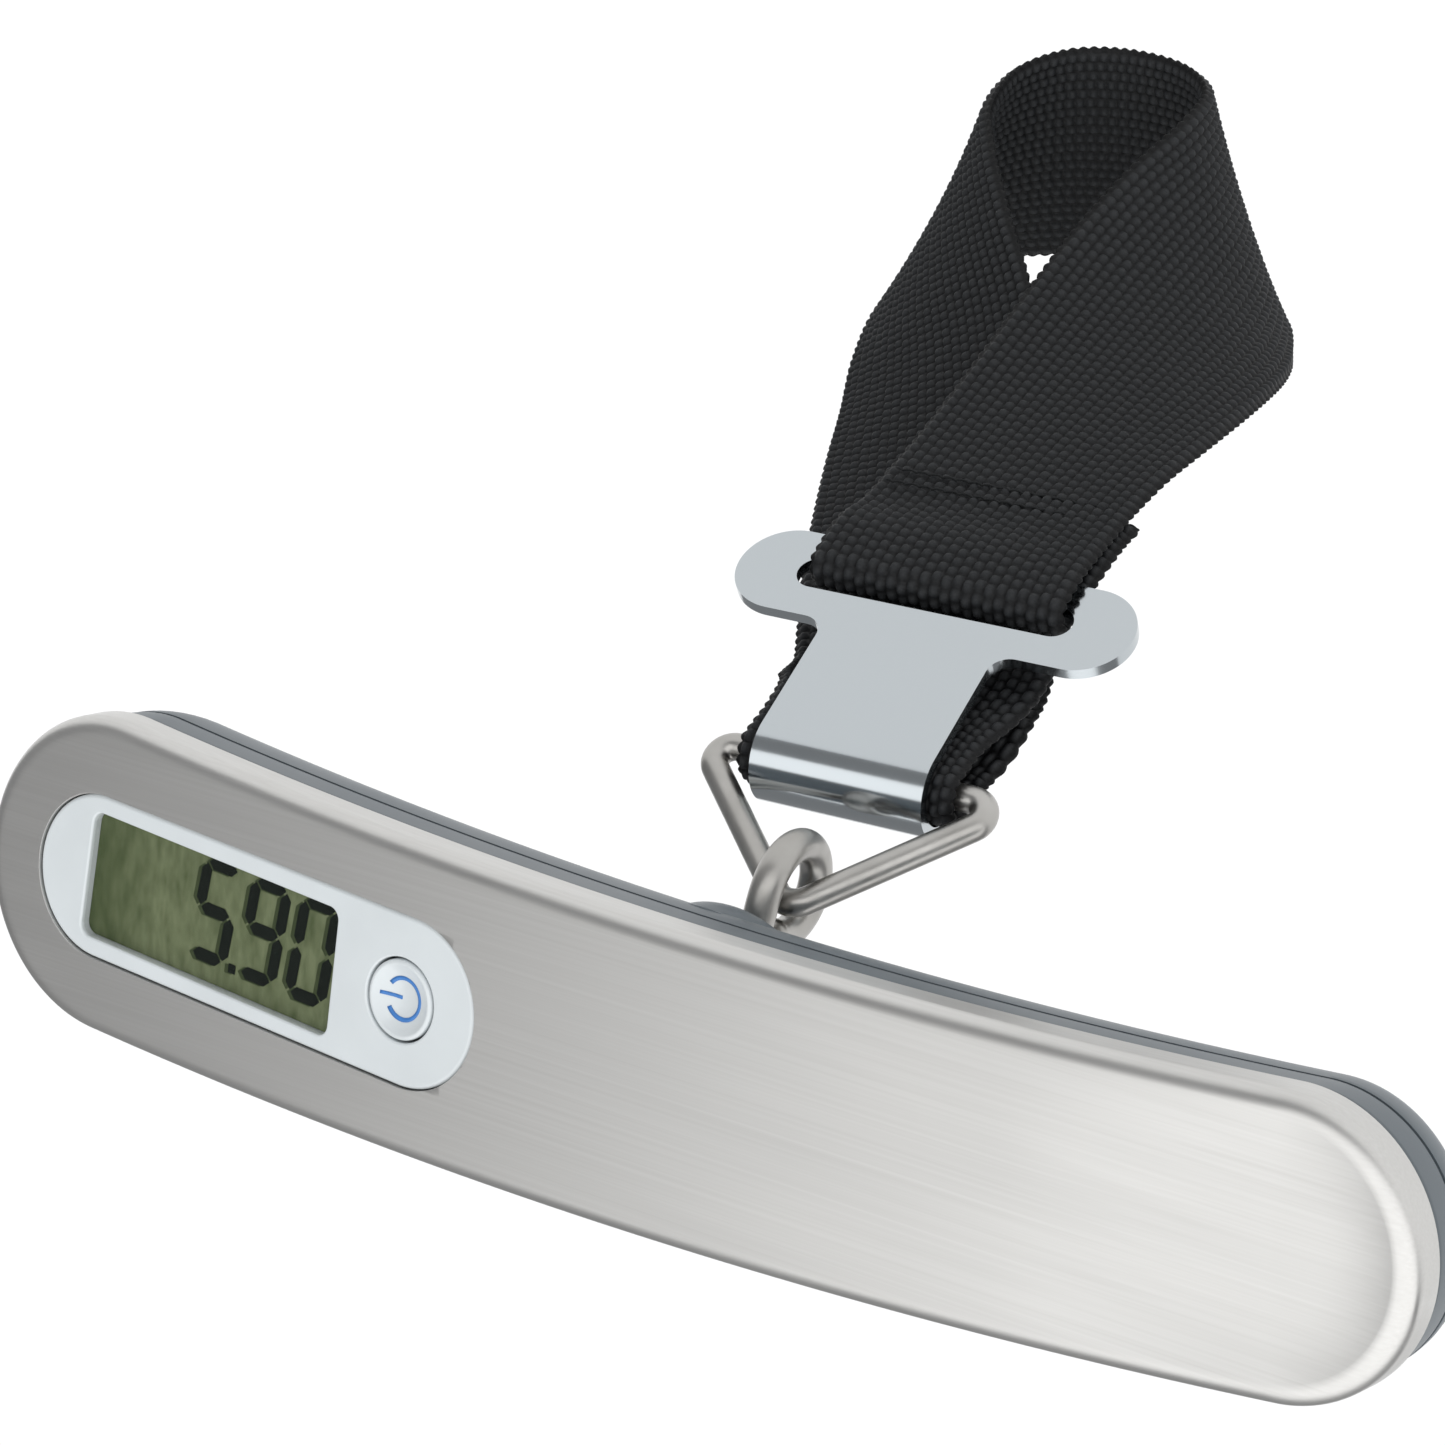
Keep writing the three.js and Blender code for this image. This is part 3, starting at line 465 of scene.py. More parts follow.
for node_name, node_look in {
    "load_cell": ALLOY,
    "circuit_board": BOARD,
    "controller_blob": BLACK,
    "button_switch": BLACK,
    "lcd_connector_1": PINK,
    "lcd_connector_2": PINK,
    "coin_cell": ZINC,
    "battery_contact_negative": BRASS,
    "battery_contact_positive": BRASS,
    "strain_gauge_1": AMBER,
    "strain_gauge_2": AMBER,
    "cell_screw_1": ZINC,
    "cell_screw_2": ZINC,
    "hook_nut": ZINC,
    "hook_washer": ZINC,
    "display_window": CLEAR,
    "lcd_glass": LCD,
    "front_plate": STEEL,
    "front_casing": CASING,
    "rear_casing": CASING,
    "battery_door": CASING,
    "display_bezel": WHITE,
    "power_button": WHITE,
    "eye_hook": WIRE,
    "triangle_ring": WIRE,
    "clasp_plate": CHROME,
    "strap": BLACK,
    "casing_screw_1": ZINC,
    "casing_screw_2": ZINC,
    "casing_screw_3": ZINC,
    "casing_screw_4": ZINC,
}.items():
    dress(node_name, node_look)

# ---- Grip --------------------------------------------------------------------


def grip_loft(name, levels, material=None, steps=56):
    """Skins outlines given as (inset, tuck, depth behind the plate's face)."""
    loops = []
    for inset, tuck, n in levels:
        outline = grip_outline(inset, tuck, steps, steps)
        loops.append([grip(x, u, n) for x, u in outline])
    return loft(name, loops, material)


def quarter(steps):
    """The angles of a quarter turn, both ends included."""
    return [math.pi / 2 * i / steps for i in range(steps + 1)]


def tray_levels(bend, inset, front, back):
    """Side wall up from the back, then a round bend into the front face."""
    levels = [(inset, 0, back)]
    for a in quarter(10):
        levels.append((inset + bend * (1 - math.cos(a)), 0, front - bend * (1 - math.sin(a))))
    return levels


def pill(extra):
    """The display panel's outline, grown by extra."""
    long, high = PANEL_HALF[0] + extra, PANEL_HALF[1] + extra
    return rounded_outline(PANEL_AT, long, high, high, 28)


FACE_RINGS = (0.4, 0.9, 1.5, 2.2, 3, 4, 5.2, 6.8, 8.4, 10.4)
HOLLOW = 0.3  # the plate's plain end is pressed in this much inside its rim
HOLLOW_REACH = 6.0
HOLLOW_FROM = 38.0
HOLLOW_OVER = 26.0


def hollow(x, ring):
    """How deep the plate's face lies at x, this far inside its bend."""
    share = min(max((x - HOLLOW_FROM) / HOLLOW_OVER, 0), 1)
    rim = 1 - min(ring / HOLLOW_REACH, 1)
    return HOLLOW * share * share * (3 - 2 * share) * (1 - rim * rim)


def ladder(count, tip):
    """Faces across a mirrored outline, rung by rung from one tip to the other."""
    faces = []
    for k in range(tip, tip + count // 2):
        rung = (k, k + 1, (2 * tip - k - 1) % count, (2 * tip - k) % count)
        faces.append(tuple(dict.fromkeys(rung)))
    return faces


def plate_skin(name, levels, material=None):
    """Side wall and bend from levels, then the face with its hollow end."""
    inset, tuck, front = levels[-1]
    rows = [(*level, 0) for level in levels]
    rows += [(inset + ring, tuck, front, ring) for ring in FACE_RINGS]
    loops = []
    for inset, tuck, n, ring in rows:
        loops.append([grip(x, u, n - hollow(x, ring)) for x, u in grip_outline(inset, tuck)])
    return loft(name, loops, material, lid=ladder(len(loops[0]), 28))


def make_plate():
    """The pressed sheet: an open tray, face forwards, with the display panel's hole."""
    plate = plate_skin("steel_plate", tray_levels(PLATE_BEND, 0, 0, -PLATE_SIDE), STEEL)
    inside = tray_levels(PLATE_BEND - SHEET, SHEET, -SHEET, -PLATE_SIDE - 1)
    cut(plate, plate_skin("inside", inside))
    cut(plate, prism("panel_hole", pill(PANEL_GAP), -3, 1))
    finish_edges(plate, 0.14, 3, 50)
    return plate


def make_front_casing():
    """The ring of casing just behind the plate, with a groove between the two."""
    outer = [(CASING_IN, 0, SPLIT), (0.35, 0, -4.7), (0.5, 0, -4.3), (1.0, 0, -4.0)]
    inner = [(CASING_IN + WALL, 0, SPLIT - 1), (0.5 + WALL, 0, -3.5)]
    casing = grip_loft("front_casing_shell", outer, CASING)
    cut(casing, grip_loft("inside", inner))
    finish_edges(casing, 0.06, 2, 50)
    return casing


SEAM = 0.3
BACK_DEEP = 8.5
BACK_IN = 6.6  # how far the back's sides draw in
BACK_TUCK = 6.0  # and its ends, beyond that


def back_levels(inset):
    """The rounded back, as levels for grip_loft."""
    levels = []
    for a in quarter(22):
        rise = 1 - math.cos(a)
        n = SPLIT - SEAM - (BACK_DEEP - inset) * math.sin(a)
        levels.append((CASING_IN + inset + BACK_IN * rise, BACK_TUCK * rise, n))
    return levels


# The battery door's sides, in the grip's x and u.
DOOR_X = (-57, -33)
DOOR_U = (-5.8, 9)
DOOR_GAP = 0.22


def door_block(name, gap=0.0):
    left, right = DOOR_X[0] - gap, DOOR_X[1] + gap
    low, high = DOOR_U[0] - gap, DOOR_U[1] + gap
    outline = [(left, low), (right, low), (right, high), (left, high)]
    return prism(name, outline, -22, -10.2)


# The hook's collar, as (radius, distance down) from the middle of the grip.
COLLAR = [
    (0, 4),
    (7.9, 9.4),
    (7.6, 10),
    (7, 11),
    (6.2, 11.9),
    (5.2, 12.6),
    (4.2, 13.05),
    (3.2, 13.2),
    (0, 13.2),
]
# The casing screws' places, (along, up).
SCREWS = [(-67.2, 0), (67.6, 0), (-15.5, 9.4), (-15.5, -9.4)]
SCREW_BORE_R = 2.6
HOOK_HOLE_R = 2.3


def make_rear_casing():
    """The back shell with its collar and bores, and the battery door cut out of it."""
    shell = grip_loft("rear_casing_shell", back_levels(0), CASING)
    collar = lathe("collar", smooth_profile(COLLAR), Vector((0, 0, 0)), Vector((0, 0, -1)), 96)
    cut(shell, collar, "UNION")
    inside = back_levels(WALL)
    inside[0] = (inside[0][0], 0, SPLIT + 1)
    cut(shell, grip_loft("inside", inside, steps=32))
    cut(shell, round_bar("hook_hole", hang(0, 0, 2), hang(0, 0, 16), HOOK_HOLE_R * MM))
    for along, up in SCREWS:
        x, u = on_grip(along, up)
        cut(shell, round_bar("bore", grip(x, u, -12.2), grip(x, u, -20), SCREW_BORE_R * MM))
    door = shell.copy()
    door.data = shell.data.copy()
    door.name = "battery_cover"
    bpy.context.scene.collection.objects.link(door)
    cut(door, door_block("door_core"), "INTERSECT")
    cut(shell, door_block("door_gap", DOOR_GAP))
    finish_edges(shell, 0.06, 2, 40)
    finish_edges(door, 0.15, 2, 40)
    return shell, door


def smooth_profile(points, steps=5):
    """A finer profile between the given (radius, height) points."""
    out = []
    for i in range(len(points) - 1):
        near = [points[max(i - 1, 0)], points[i], points[i + 1], points[min(i + 2, len(points) - 1)]]
        for k in range(steps):
            out.append(tuple(spline(*(point[d] for point in near), k / steps) for d in (0, 1)))
    out.append(points[-1])
    return [(max(r, 0), h) for r, h in out]


def spline(before, here, after, beyond, t):
    """Catmull-Rom between here and after."""
    return 0.5 * (
        2 * here
        + (after - before) * t
        + (2 * before - 5 * here + 4 * after - beyond) * t * t
        + (3 * here - 3 * after + beyond - before) * t**3
    )


# ---- Display panel -------------------------------------------------------------


BEZEL_EDGE = 0.45
BEZEL_FACE = -0.1
BUTTON_GAP = 0.2


def make_bezel():
    """The white pill with a rounded edge, the display's window and the button's hole."""
    levels = [(0, -3.2)]
    for a in quarter(6):
        levels.append((BEZEL_EDGE * (1 - math.cos(a)), BEZEL_FACE - BEZEL_EDGE * (1 - math.sin(a))))
    loops = []
    for inset, n in levels:
        loops.append([grip(x, u, n) for x, u in pill(-inset)])
    bezel = loft("display_surround", loops, WHITE)
    window = rounded_outline(WINDOW_AT, *WINDOW_HALF, 1.1, 10)
    cut(bezel, prism("window_hole", window, -6, 2))
    x, u = on_grip(BUTTON_AT, 0)
    cut(bezel, round_bar("button_hole", grip(x, u, -6), grip(x, u, 2), (BUTTON_R + BUTTON_GAP) * MM, 72))
    finish_edges(bezel, 0.22, 3, 50)
    return bezel


SEGMENTS = {
    "a": ((0, 1), (1, 1)),
    "b": ((1, 1), (1, 0.5)),
    "c": ((1, 0.5), (1, 0)),
    "d": ((0, 0), (1, 0)),
    "e": ((0, 0.5), (0, 0)),
    "f": ((0, 1), (0, 0.5)),
    "g": ((0, 0.5), (1, 0.5)),
}
DIGITS = {"5": "afgcd", "9": "abfgcd", "0": "abcdef"}
LCD_FACE = -1.1
LCD_GAP = 0.03
PANE_GAP = 0.06
DIGIT_EDGE = 1.35  # from the last digit to the window's end
DIGIT_WIDE = 3.7
DIGIT_HIGH = 8.7
DIGIT_PITCH = 5.95
STROKE = 1.2
STROKE_GAP = 0.14
POINT = 0.85  # side of the decimal point
SLANT = 0.09


def segment_outline(start, end, offset):
    """A seven-segment bar with pointed ends, in panel millimetres."""
    (x0, y0), (x1, y1) = start, end
    x0, x1 = x0 * DIGIT_WIDE, x1 * DIGIT_WIDE
    y0, y1 = (y0 - 0.5) * DIGIT_HIGH, (y1 - 0.5) * DIGIT_HIGH
    length = math.dist((x0, y0), (x1, y1))
    ax, ay = (x1 - x0) / length, (y1 - y0) / length
    half = STROKE / 2
    near, far = STROKE_GAP, length - STROKE_GAP
    points = []
    for along, across in (
        (near, 0),
        (near + half, half),
        (far - half, half),
        (far, 0),
        (far - half, -half),
        (near + half, -half),
    ):
        x = x0 + ax * along - ay * across
        y = y0 + ay * along + ax * across
        points.append((offset + x + y * SLANT, y))
    return points


def make_digits(name, text, shift, lift, n, material):
    """Seven-segment digits set from the right, as plates whose face lies at n."""
    verts = []
    faces = []
    place = WINDOW_AT + WINDOW_HALF[0] - DIGIT_EDGE - DIGIT_WIDE + shift
    for mark in reversed(text):
        outlines = []
        if mark == ".":
            spot = place + DIGIT_WIDE + 0.45
            low = -DIGIT_HIGH / 2 - STROKE / 2
            end, top = spot + POINT, low + POINT
            outlines.append([(spot, low), (end, low), (end, top), (spot, top)])
        else:
            for key in DIGITS[mark]:
                outlines.append(segment_outline(*SEGMENTS[key], place))
            place -= DIGIT_PITCH
        for outline in outlines:
            base = len(verts)
            count = len(outline)
            for level in (n - 0.02, n):
                verts += [grip(*on_grip(along, up + lift), level) for along, up in outline]
            faces.append(tuple(base + k for k in range(count)))
            faces.append(tuple(base + count + k for k in range(count)))
            for k in range(count):
                j = (k + 1) % count
                faces.append((base + k, base + j, base + count + j, base + count + k))
    return make_object(name, verts, faces, material, smooth=False)


def make_lcd():
    """The display cell stands up into the window, just behind the clear pane."""
    outline = rounded_outline(WINDOW_AT, WINDOW_HALF[0] - LCD_GAP, WINDOW_HALF[1] - LCD_GAP, 1.08, 10)
    cell = prism("lcd_cell", outline, -5.3, LCD_FACE, LCD)
    finish_edges(cell, 0.05, 2, 50)
    return cell


def make_window():
    outline = rounded_outline(WINDOW_AT, WINDOW_HALF[0] - PANE_GAP, WINDOW_HALF[1] - PANE_GAP, 1.05, 10)
    pane = prism("window_pane", outline, -0.8, -0.4, CLEAR)
    finish_edges(pane, 0.12, 2, 50)
    return pane


# The button's dished face, as (radius, height over the plate's face).
BUTTON_DISH = [
    (0, -0.9),
    (1.2, -0.82),
    (2.3, -0.52),
    (2.9, -0.24),
    (3.2, -0.08),
    (3.45, -0.14),
    (3.58, -0.32),
    (BUTTON_R, -0.6),
]
BUTTON_BASE = -3.0


def make_button():
    x, u = on_grip(BUTTON_AT, 0)
    profile = smooth_profile(BUTTON_DISH, 4) + [(BUTTON_R, BUTTON_BASE), (0, BUTTON_BASE)]
    return lathe("button_cap", profile, grip(x, u, 0), GRIP_N, 96, WHITE)


def dish_depth(radius):
    """Height of the button's face at a radius, from its profile."""
    for (r0, h0), (r1, h1) in zip(BUTTON_DISH, BUTTON_DISH[1:]):
        if radius <= r1:
            return h0 + (h1 - h0) * (radius - r0) / (r1 - r0)
    return BUTTON_DISH[-1][1]


ICON_R = 1.85
ICON_GAP = math.radians(35)  # half the opening of the ring
ICON_BAR = (-2.5, -0.3)
ICON_PROUD = 0.03


def make_icon():
    """A broken ring and a bar lying along the grip, laid in the button's dish."""
    verts = []
    faces = []

    def strip(points, half):
        base = len(verts)
        for (x0, y0), (dx, dy) in points:
            size = math.hypot(dx, dy)
            nx, ny = -dy / size, dx / size
            for side in (-half, half):
                x, y = x0 + nx * side, y0 + ny * side
                lift = dish_depth(math.hypot(x, y)) + ICON_PROUD
                verts.append(grip(*on_grip(BUTTON_AT + x, y), lift))
                verts.append(grip(*on_grip(BUTTON_AT + x, y), lift - 2 * ICON_PROUD))
        for k in range(len(points) - 1):
            a = base + 4 * k
            b = a + 4
            faces.extend([(a, a + 2, b + 2, b), (a + 1, b + 1, b + 3, a + 3)])
            faces.extend([(a, b, b + 1, a + 1), (a + 2, a + 3, b + 3, b + 2)])
        faces.append((base, base + 1, base + 3, base + 2))
        end = base + 4 * (len(points) - 1)
        faces.append((end, end + 2, end + 3, end + 1))

    ring = []
    for a in np.linspace(ICON_GAP - math.pi, math.pi - ICON_GAP, 41):
        ring.append(((ICON_R * math.cos(a), ICON_R * math.sin(a)), (-math.sin(a), math.cos(a))))
    strip(ring, 0.19)
    strip([((x, 0), (1, 0)) for x in np.linspace(*ICON_BAR, 9)], 0.16)
    return make_object("power_symbol", verts, faces, BLUE)


# ---- Hook, ring, clasp and webbing ---------------------------------------------

TUBE_SIDES = 36
HOOK_R = 1.45
RING_R = 1.25
EYE_R = 4.1
EYE_OFFSET = 0.7
EYE_T = 18.9
EYE_TURN = math.radians(97)
EYE_END = math.radians(-66)
EYE_SIDE = Vector((-math.cos(EYE_TURN), math.sin(EYE_TURN), 0))
RING_HALF = 15.4
RING_HEIGHT = 15.2
RING_APEX = 6.2
BAR_T = RING_HEIGHT - RING_APEX
CLASP_SHEET = 1.1
CURL_INNER = 3.05
CURL_TURN = math.radians(195)
CURL_STEPS = 52
TRUNK_HALF = 8.4
CLASP_HALF = 19.5
EAR_T = 18.1
EAR_R = 5.0
SLOT_LOW, SLOT_HIGH, SLOT_HALF = 16.5, 20.1, 13.6
WEB_THICK = 1.3
WEB_WIDE = 25.0
WEB_SEWN = 21.0

RING_PIVOT = Vector(joints["ring_swing"]["pos_m"])
BAR_POINT = Vector(joints["clasp_swing"]["pos_m"])
RING_TILT = math.radians(-6.5)
RING_YAW = math.radians(-7)
CLASP_LEAN = math.radians(6)
RING_TURN = Matrix.Rotation(RING_TILT, 4, "Y") @ Matrix.Rotation(RING_YAW, 4, "Z")
CLASP_TURN = RING_TURN @ Matrix.Rotation(CLASP_LEAN, 4, "X")


def in_ring(x, v, t):
    """A point given in hanging millimetres from the ring's pivot, in the ring's rest pose."""
    return RING_PIVOT + (RING_TURN @ hang(x, v, t))


def in_clasp(x, v, t):
    """The same for the clasp and strap, from the middle of the ring's bar."""
    return BAR_POINT + (CLASP_TURN @ hang(x, v, t))


def rounded_end(ring, out, radius):
    """Rings past a wire's last one, shrinking towards its tip."""
    point, along, side, _ = ring
    angles = quarter(5)[1:-1]
    return [(point + out * radius * 0.45 * math.sin(a), along, side, math.cos(a)) for a in angles]


def tube(name, points, radius, material, closed=False):
    """A round wire along points, with rounded ends when it is open."""
    count = len(points)
    rings = []
    side = None
    for k, point in enumerate(points):
        before = points[k - 1] if closed or k else point
        after = points[(k + 1) % count] if closed or k < count - 1 else point
        along = (after - before).normalized()
        if side is None:
            side = along.orthogonal().normalized()
        else:
            side = (side - along * side.dot(along)).normalized()
        rings.append((point, along, side, 1.0))
    if not closed:
        first = rounded_end(rings[0], -rings[0][1], radius)
        last = rounded_end(rings[-1], rings[-1][1], radius)
        rings = first[::-1] + rings + last
    angles = [2 * math.pi * i / TUBE_SIDES for i in range(TUBE_SIDES)]
    loops = []
    for point, along, side, share in rings:
        other = along.cross(side)
        loops.append([point + (side * math.cos(a) + other * math.sin(a)) * radius * share for a in angles])
    return loft(name, loops, material, closed)


def make_hook():
    """A straight shank, an S-bend to the eye's side, then the open eye."""

    def at(p, t):
        return EYE_SIDE * p * MM + hang(0, 0, t)

    neck = EYE_T - 7.0
    points = [at(0, t) for t in (-5.2, -3, 0, 3, 6, 9, neck)]
    corners = [(0, neck), (0, neck + 2.4), (EYE_OFFSET - EYE_R, EYE_T - 3.2), (EYE_OFFSET - EYE_R, EYE_T)]
    for k in range(1, 17):
        s = k / 16
        weights = ((1 - s) ** 3, 3 * s * (1 - s) ** 2, 3 * s * s * (1 - s), s**3)
        points.append(at(*(sum(w * c[d] for w, c in zip(weights, corners)) for d in (0, 1))))
    for k in range(1, 91):
        a = math.pi + (EYE_END - math.pi) * k / 90
        points.append(at(EYE_OFFSET + EYE_R * math.cos(a), EYE_T + EYE_R * math.sin(a)))
    return tube("hook_wire", points, HOOK_R * MM, WIRE)


def rounded_corners(corners, radii):
    """A closed path through corners, each rounded to its own radius."""
    steps = 14
    points = []
    for i, corner in enumerate(corners):
        u = (corners[i - 1] - corner).normalized()
        w = (corners[(i + 1) % len(corners)] - corner).normalized()
        half = u.angle(w) / 2
        centre = corner + (u + w).normalized() * (radii[i] / math.sin(half))
        start = corner + u * (radii[i] / math.tan(half)) - centre
        end = corner + w * (radii[i] / math.tan(half)) - centre
        for k in range(steps + 1):
            points.append(centre + start.slerp(end, k / steps).normalized() * radii[i])
    return points


def make_ring():
    corners = [in_ring(0, 0, -RING_APEX), in_ring(RING_HALF, 0, BAR_T), in_ring(-RING_HALF, 0, BAR_T)]
    path = rounded_corners(corners, [2.2 * MM, 1.6 * MM, 1.6 * MM])
    dense = []
    for k, point in enumerate(path):
        after = path[(k + 1) % len(path)]
        pieces = max(1, round((after - point).length / (1.6 * MM)))
        dense += [point.lerp(after, s / pieces) for s in range(pieces)]
    return tube("ring_wire", dense, RING_R * MM, WIRE, closed=True)


def clasp_outline():
    """The flat T, in (x, t): trunk, filleted shoulders and round ears."""
    shoulder = EAR_T - EAR_R
    half = [(TRUNK_HALF, -0.05)]
    for a in quarter(10):
        half.append((TRUNK_HALF + 2 * (1 - math.cos(a)), shoulder - 2 * (1 - math.sin(a))))
    for k in range(41):
        a = -math.pi / 2 + math.pi * k / 40
        half.append((CLASP_HALF - EAR_R + EAR_R * math.cos(a), EAR_T + EAR_R * math.sin(a)))
    return half + [(-x, t) for x, t in reversed(half)]


def slot_outline():
    """The clasp's slot, in (x, t), with round ends."""
    radius = (SLOT_HIGH - SLOT_LOW) / 2
    points = []
    for side, start in ((1, -90), (-1, 90)):
        for k in range(21):
            a = math.radians(start + 180 * k / 20)
            x = side * (SLOT_HALF - radius) + radius * math.cos(a)
            points.append((x, SLOT_LOW + radius + radius * math.sin(a)))
    return points


def make_clasp():
    """The slotted T with its foot curled round the ring's bar."""
    front = CURL_INNER + CLASP_SHEET
    outline = clasp_outline()
    plate = loft("clasp", [[in_clasp(x, v, t) for x, t in outline] for v in (CURL_INNER, front)], CHROME)
    slot = slot_outline()
    cut(plate, loft("slot", [[in_clasp(x, v, t) for x, t in slot] for v in (0, 8)]))
    section = [(-TRUNK_HALF, CURL_INNER), (TRUNK_HALF, CURL_INNER)]
    section += [(x, front) for x, _ in reversed(section)]
    loops = []
    for k in range(CURL_STEPS + 1):
        a = -CURL_TURN * k / CURL_STEPS
        loops.append([in_clasp(x, r * math.cos(a), r * math.sin(a)) for x, r in section])
    cut(plate, loft("curl", loops), "UNION")
    finish_edges(plate, 0.26, 3, 40, crisp=True)
    return plate


WEB_FRONT = CURL_INNER + CLASP_SHEET + 0.25 + WEB_THICK / 2
WEB_BACK = CURL_INNER - 0.25 - WEB_THICK / 2


def web_stations():
    """The webbing's middle line [x, v, t] with its turn and lift, from its sewn end."""
    rows = [[-1.8, -4.2, 17, 5, 14], [-0.9, -3.5, 12, 2, 6], [0, -3.1, 7.5, 0, 1], [0, -2.7, 4, 0, 0]]
    wrap = RING_R + 0.25 + WEB_THICK / 2
    for k in range(9):
        a = math.pi + math.pi * k / 8
        rows.append([0, wrap * math.cos(a), wrap * math.sin(a), 0, 0])
    rows += [
        [0, 1.3, 5, 0, 0],
        [0, 0, 10, 1, 3],
        [-0.7, -1.3, 14, 3, 10],
        [-2, -2.6, 18.5, 6, 17],
        [-4.5, -3.3, 24, 8, 23],
        [-7.8, -4, 31, 11, 25],
        [-11.4, -4.8, 39, 17, 25],
        [-15.3, -5.3, 48, 25, 25],
        [-19.3, -5.2, 57, 36, 24],
        [-23.3, -4.9, 65, 46, 21],
        [-26.5, -5, 73, 55, 16],
        [-27.7, -5.6, 80, 64, 12],
        [-25.7, -7, 87, 74, 9],
        [-20.8, -8.4, 92, 82, 9],
        [-14, -9.2, 94, 88, 9],
        [-6.8, -9.1, 93, 92, 8],
        [-1, -8.2, 89, 100, 6],
        [1.7, -6.6, 82.5, 114, 5],
        [2.3, -4.8, 74, 134, 3],
        [2.3, -2.9, 65, 152, 2],
        [2.1, -1, 56, 165, 2],
        [1.6, 0.5, 48, 174, 3],
        [1, 1.7, 41, 180, 3],
        [0.4, 2.6, 34.5, 182, 1],
        [0.1, 3.5, 29, 182, 0],
        [0, 4.6, 25.5, 180, 0],
        [0, WEB_FRONT, 22.8, 180, 0],
    ]
    middle = (WEB_FRONT + WEB_BACK) / 2
    fold = (WEB_FRONT - WEB_BACK) / 2
    for k in range(9):
        a = -math.pi * k / 8
        rows.append([0, middle + fold * math.cos(a), SLOT_HIGH - 0.4 + fold * 0.75 * math.sin(a), 180, 0])
    rows += [
        [0, WEB_BACK, 23.8, 180, 0],
        [0.3, 1.9, 28, 181, 0],
        [0.6, 1.4, 32, 182, 1],
        [1, 1, 35, 182, 2],
    ]
    return np.array(rows, float)


def web_path():
    """Fine points of the webbing's middle line, and the distance along it to each."""
    rows = web_stations()
    padded = np.vstack([2 * rows[0] - rows[1], rows, 2 * rows[-1] - rows[-2]])
    fine = []
    for k in range(1, len(padded) - 2):
        for s in np.arange(24) / 24:
            fine.append(spline(padded[k - 1], padded[k], padded[k + 1], padded[k + 2], s))
    fine.append(padded[-2])
    fine = np.array(fine)
    reach = np.concatenate([[0], np.cumsum(np.linalg.norm(np.diff(fine[:, :3], axis=0), axis=1))])
    return reach, fine


RIB = 1.16  # one weft rib along the webbing, mm
RIB_STEPS = 6
COLUMNS = 23  # warp columns across its width
COLUMN_STEPS = 5
EDGE_STEPS = 4
BEAD = 0.5  # how far the weave's beads stand up, mm
BEAD_SHIFT = 0.3  # of a rib, between one column and the next


def unit_rows(rows):
    return rows / np.linalg.norm(rows, axis=1)[:, None]


def web_rows():
    """Even steps along the webbing: distance, middle, width and thickness directions, half width."""
    reach, fine = web_path()
    steps = int(reach[-1] / RIB * RIB_STEPS)
    distance = np.linspace(0, reach[-1], steps + 1)
    row = np.stack([np.interp(distance, reach, fine[:, d]) for d in range(5)], 1)
    middle = row[:, :3]
    turn, lift = np.radians(row[:, 3]), np.radians(row[:, 4])
    along = unit_rows(np.gradient(middle, axis=0))
    wide = np.stack([np.cos(turn) * np.cos(lift), np.sin(turn) * np.cos(lift), np.sin(lift)], 1)
    wide = unit_rows(wide - along * (wide * along).sum(1)[:, None])
    thin = np.cross(along, wide)
    spread = np.clip((row[:, 2] - 3) / 11, 0, 1)
    spread = spread * spread * (3 - 2 * spread)
    half = (WEB_SEWN + (WEB_WIDE - WEB_SEWN) * spread) / 2
    return distance, middle, wide, thin, half


def web_section():
    """Once round the webbing: place across it, which face, and how far the edge bulges, all to 1."""
    flat = np.linspace(-1, 1, COLUMNS * COLUMN_STEPS + 1)
    face = np.ones(len(flat))
    edge = np.ones(EDGE_STEPS)
    tips = np.sin(np.radians(np.linspace(-90, 90, EDGE_STEPS + 2)[1:-1]))
    bulge = np.sqrt(1 - tips**2)
    return (
        np.concatenate([flat, edge, flat[::-1], -edge]),
        np.concatenate([face, -tips, -face, tips]),
        np.concatenate([0 * face, bulge, 0 * face, bulge]),
    )


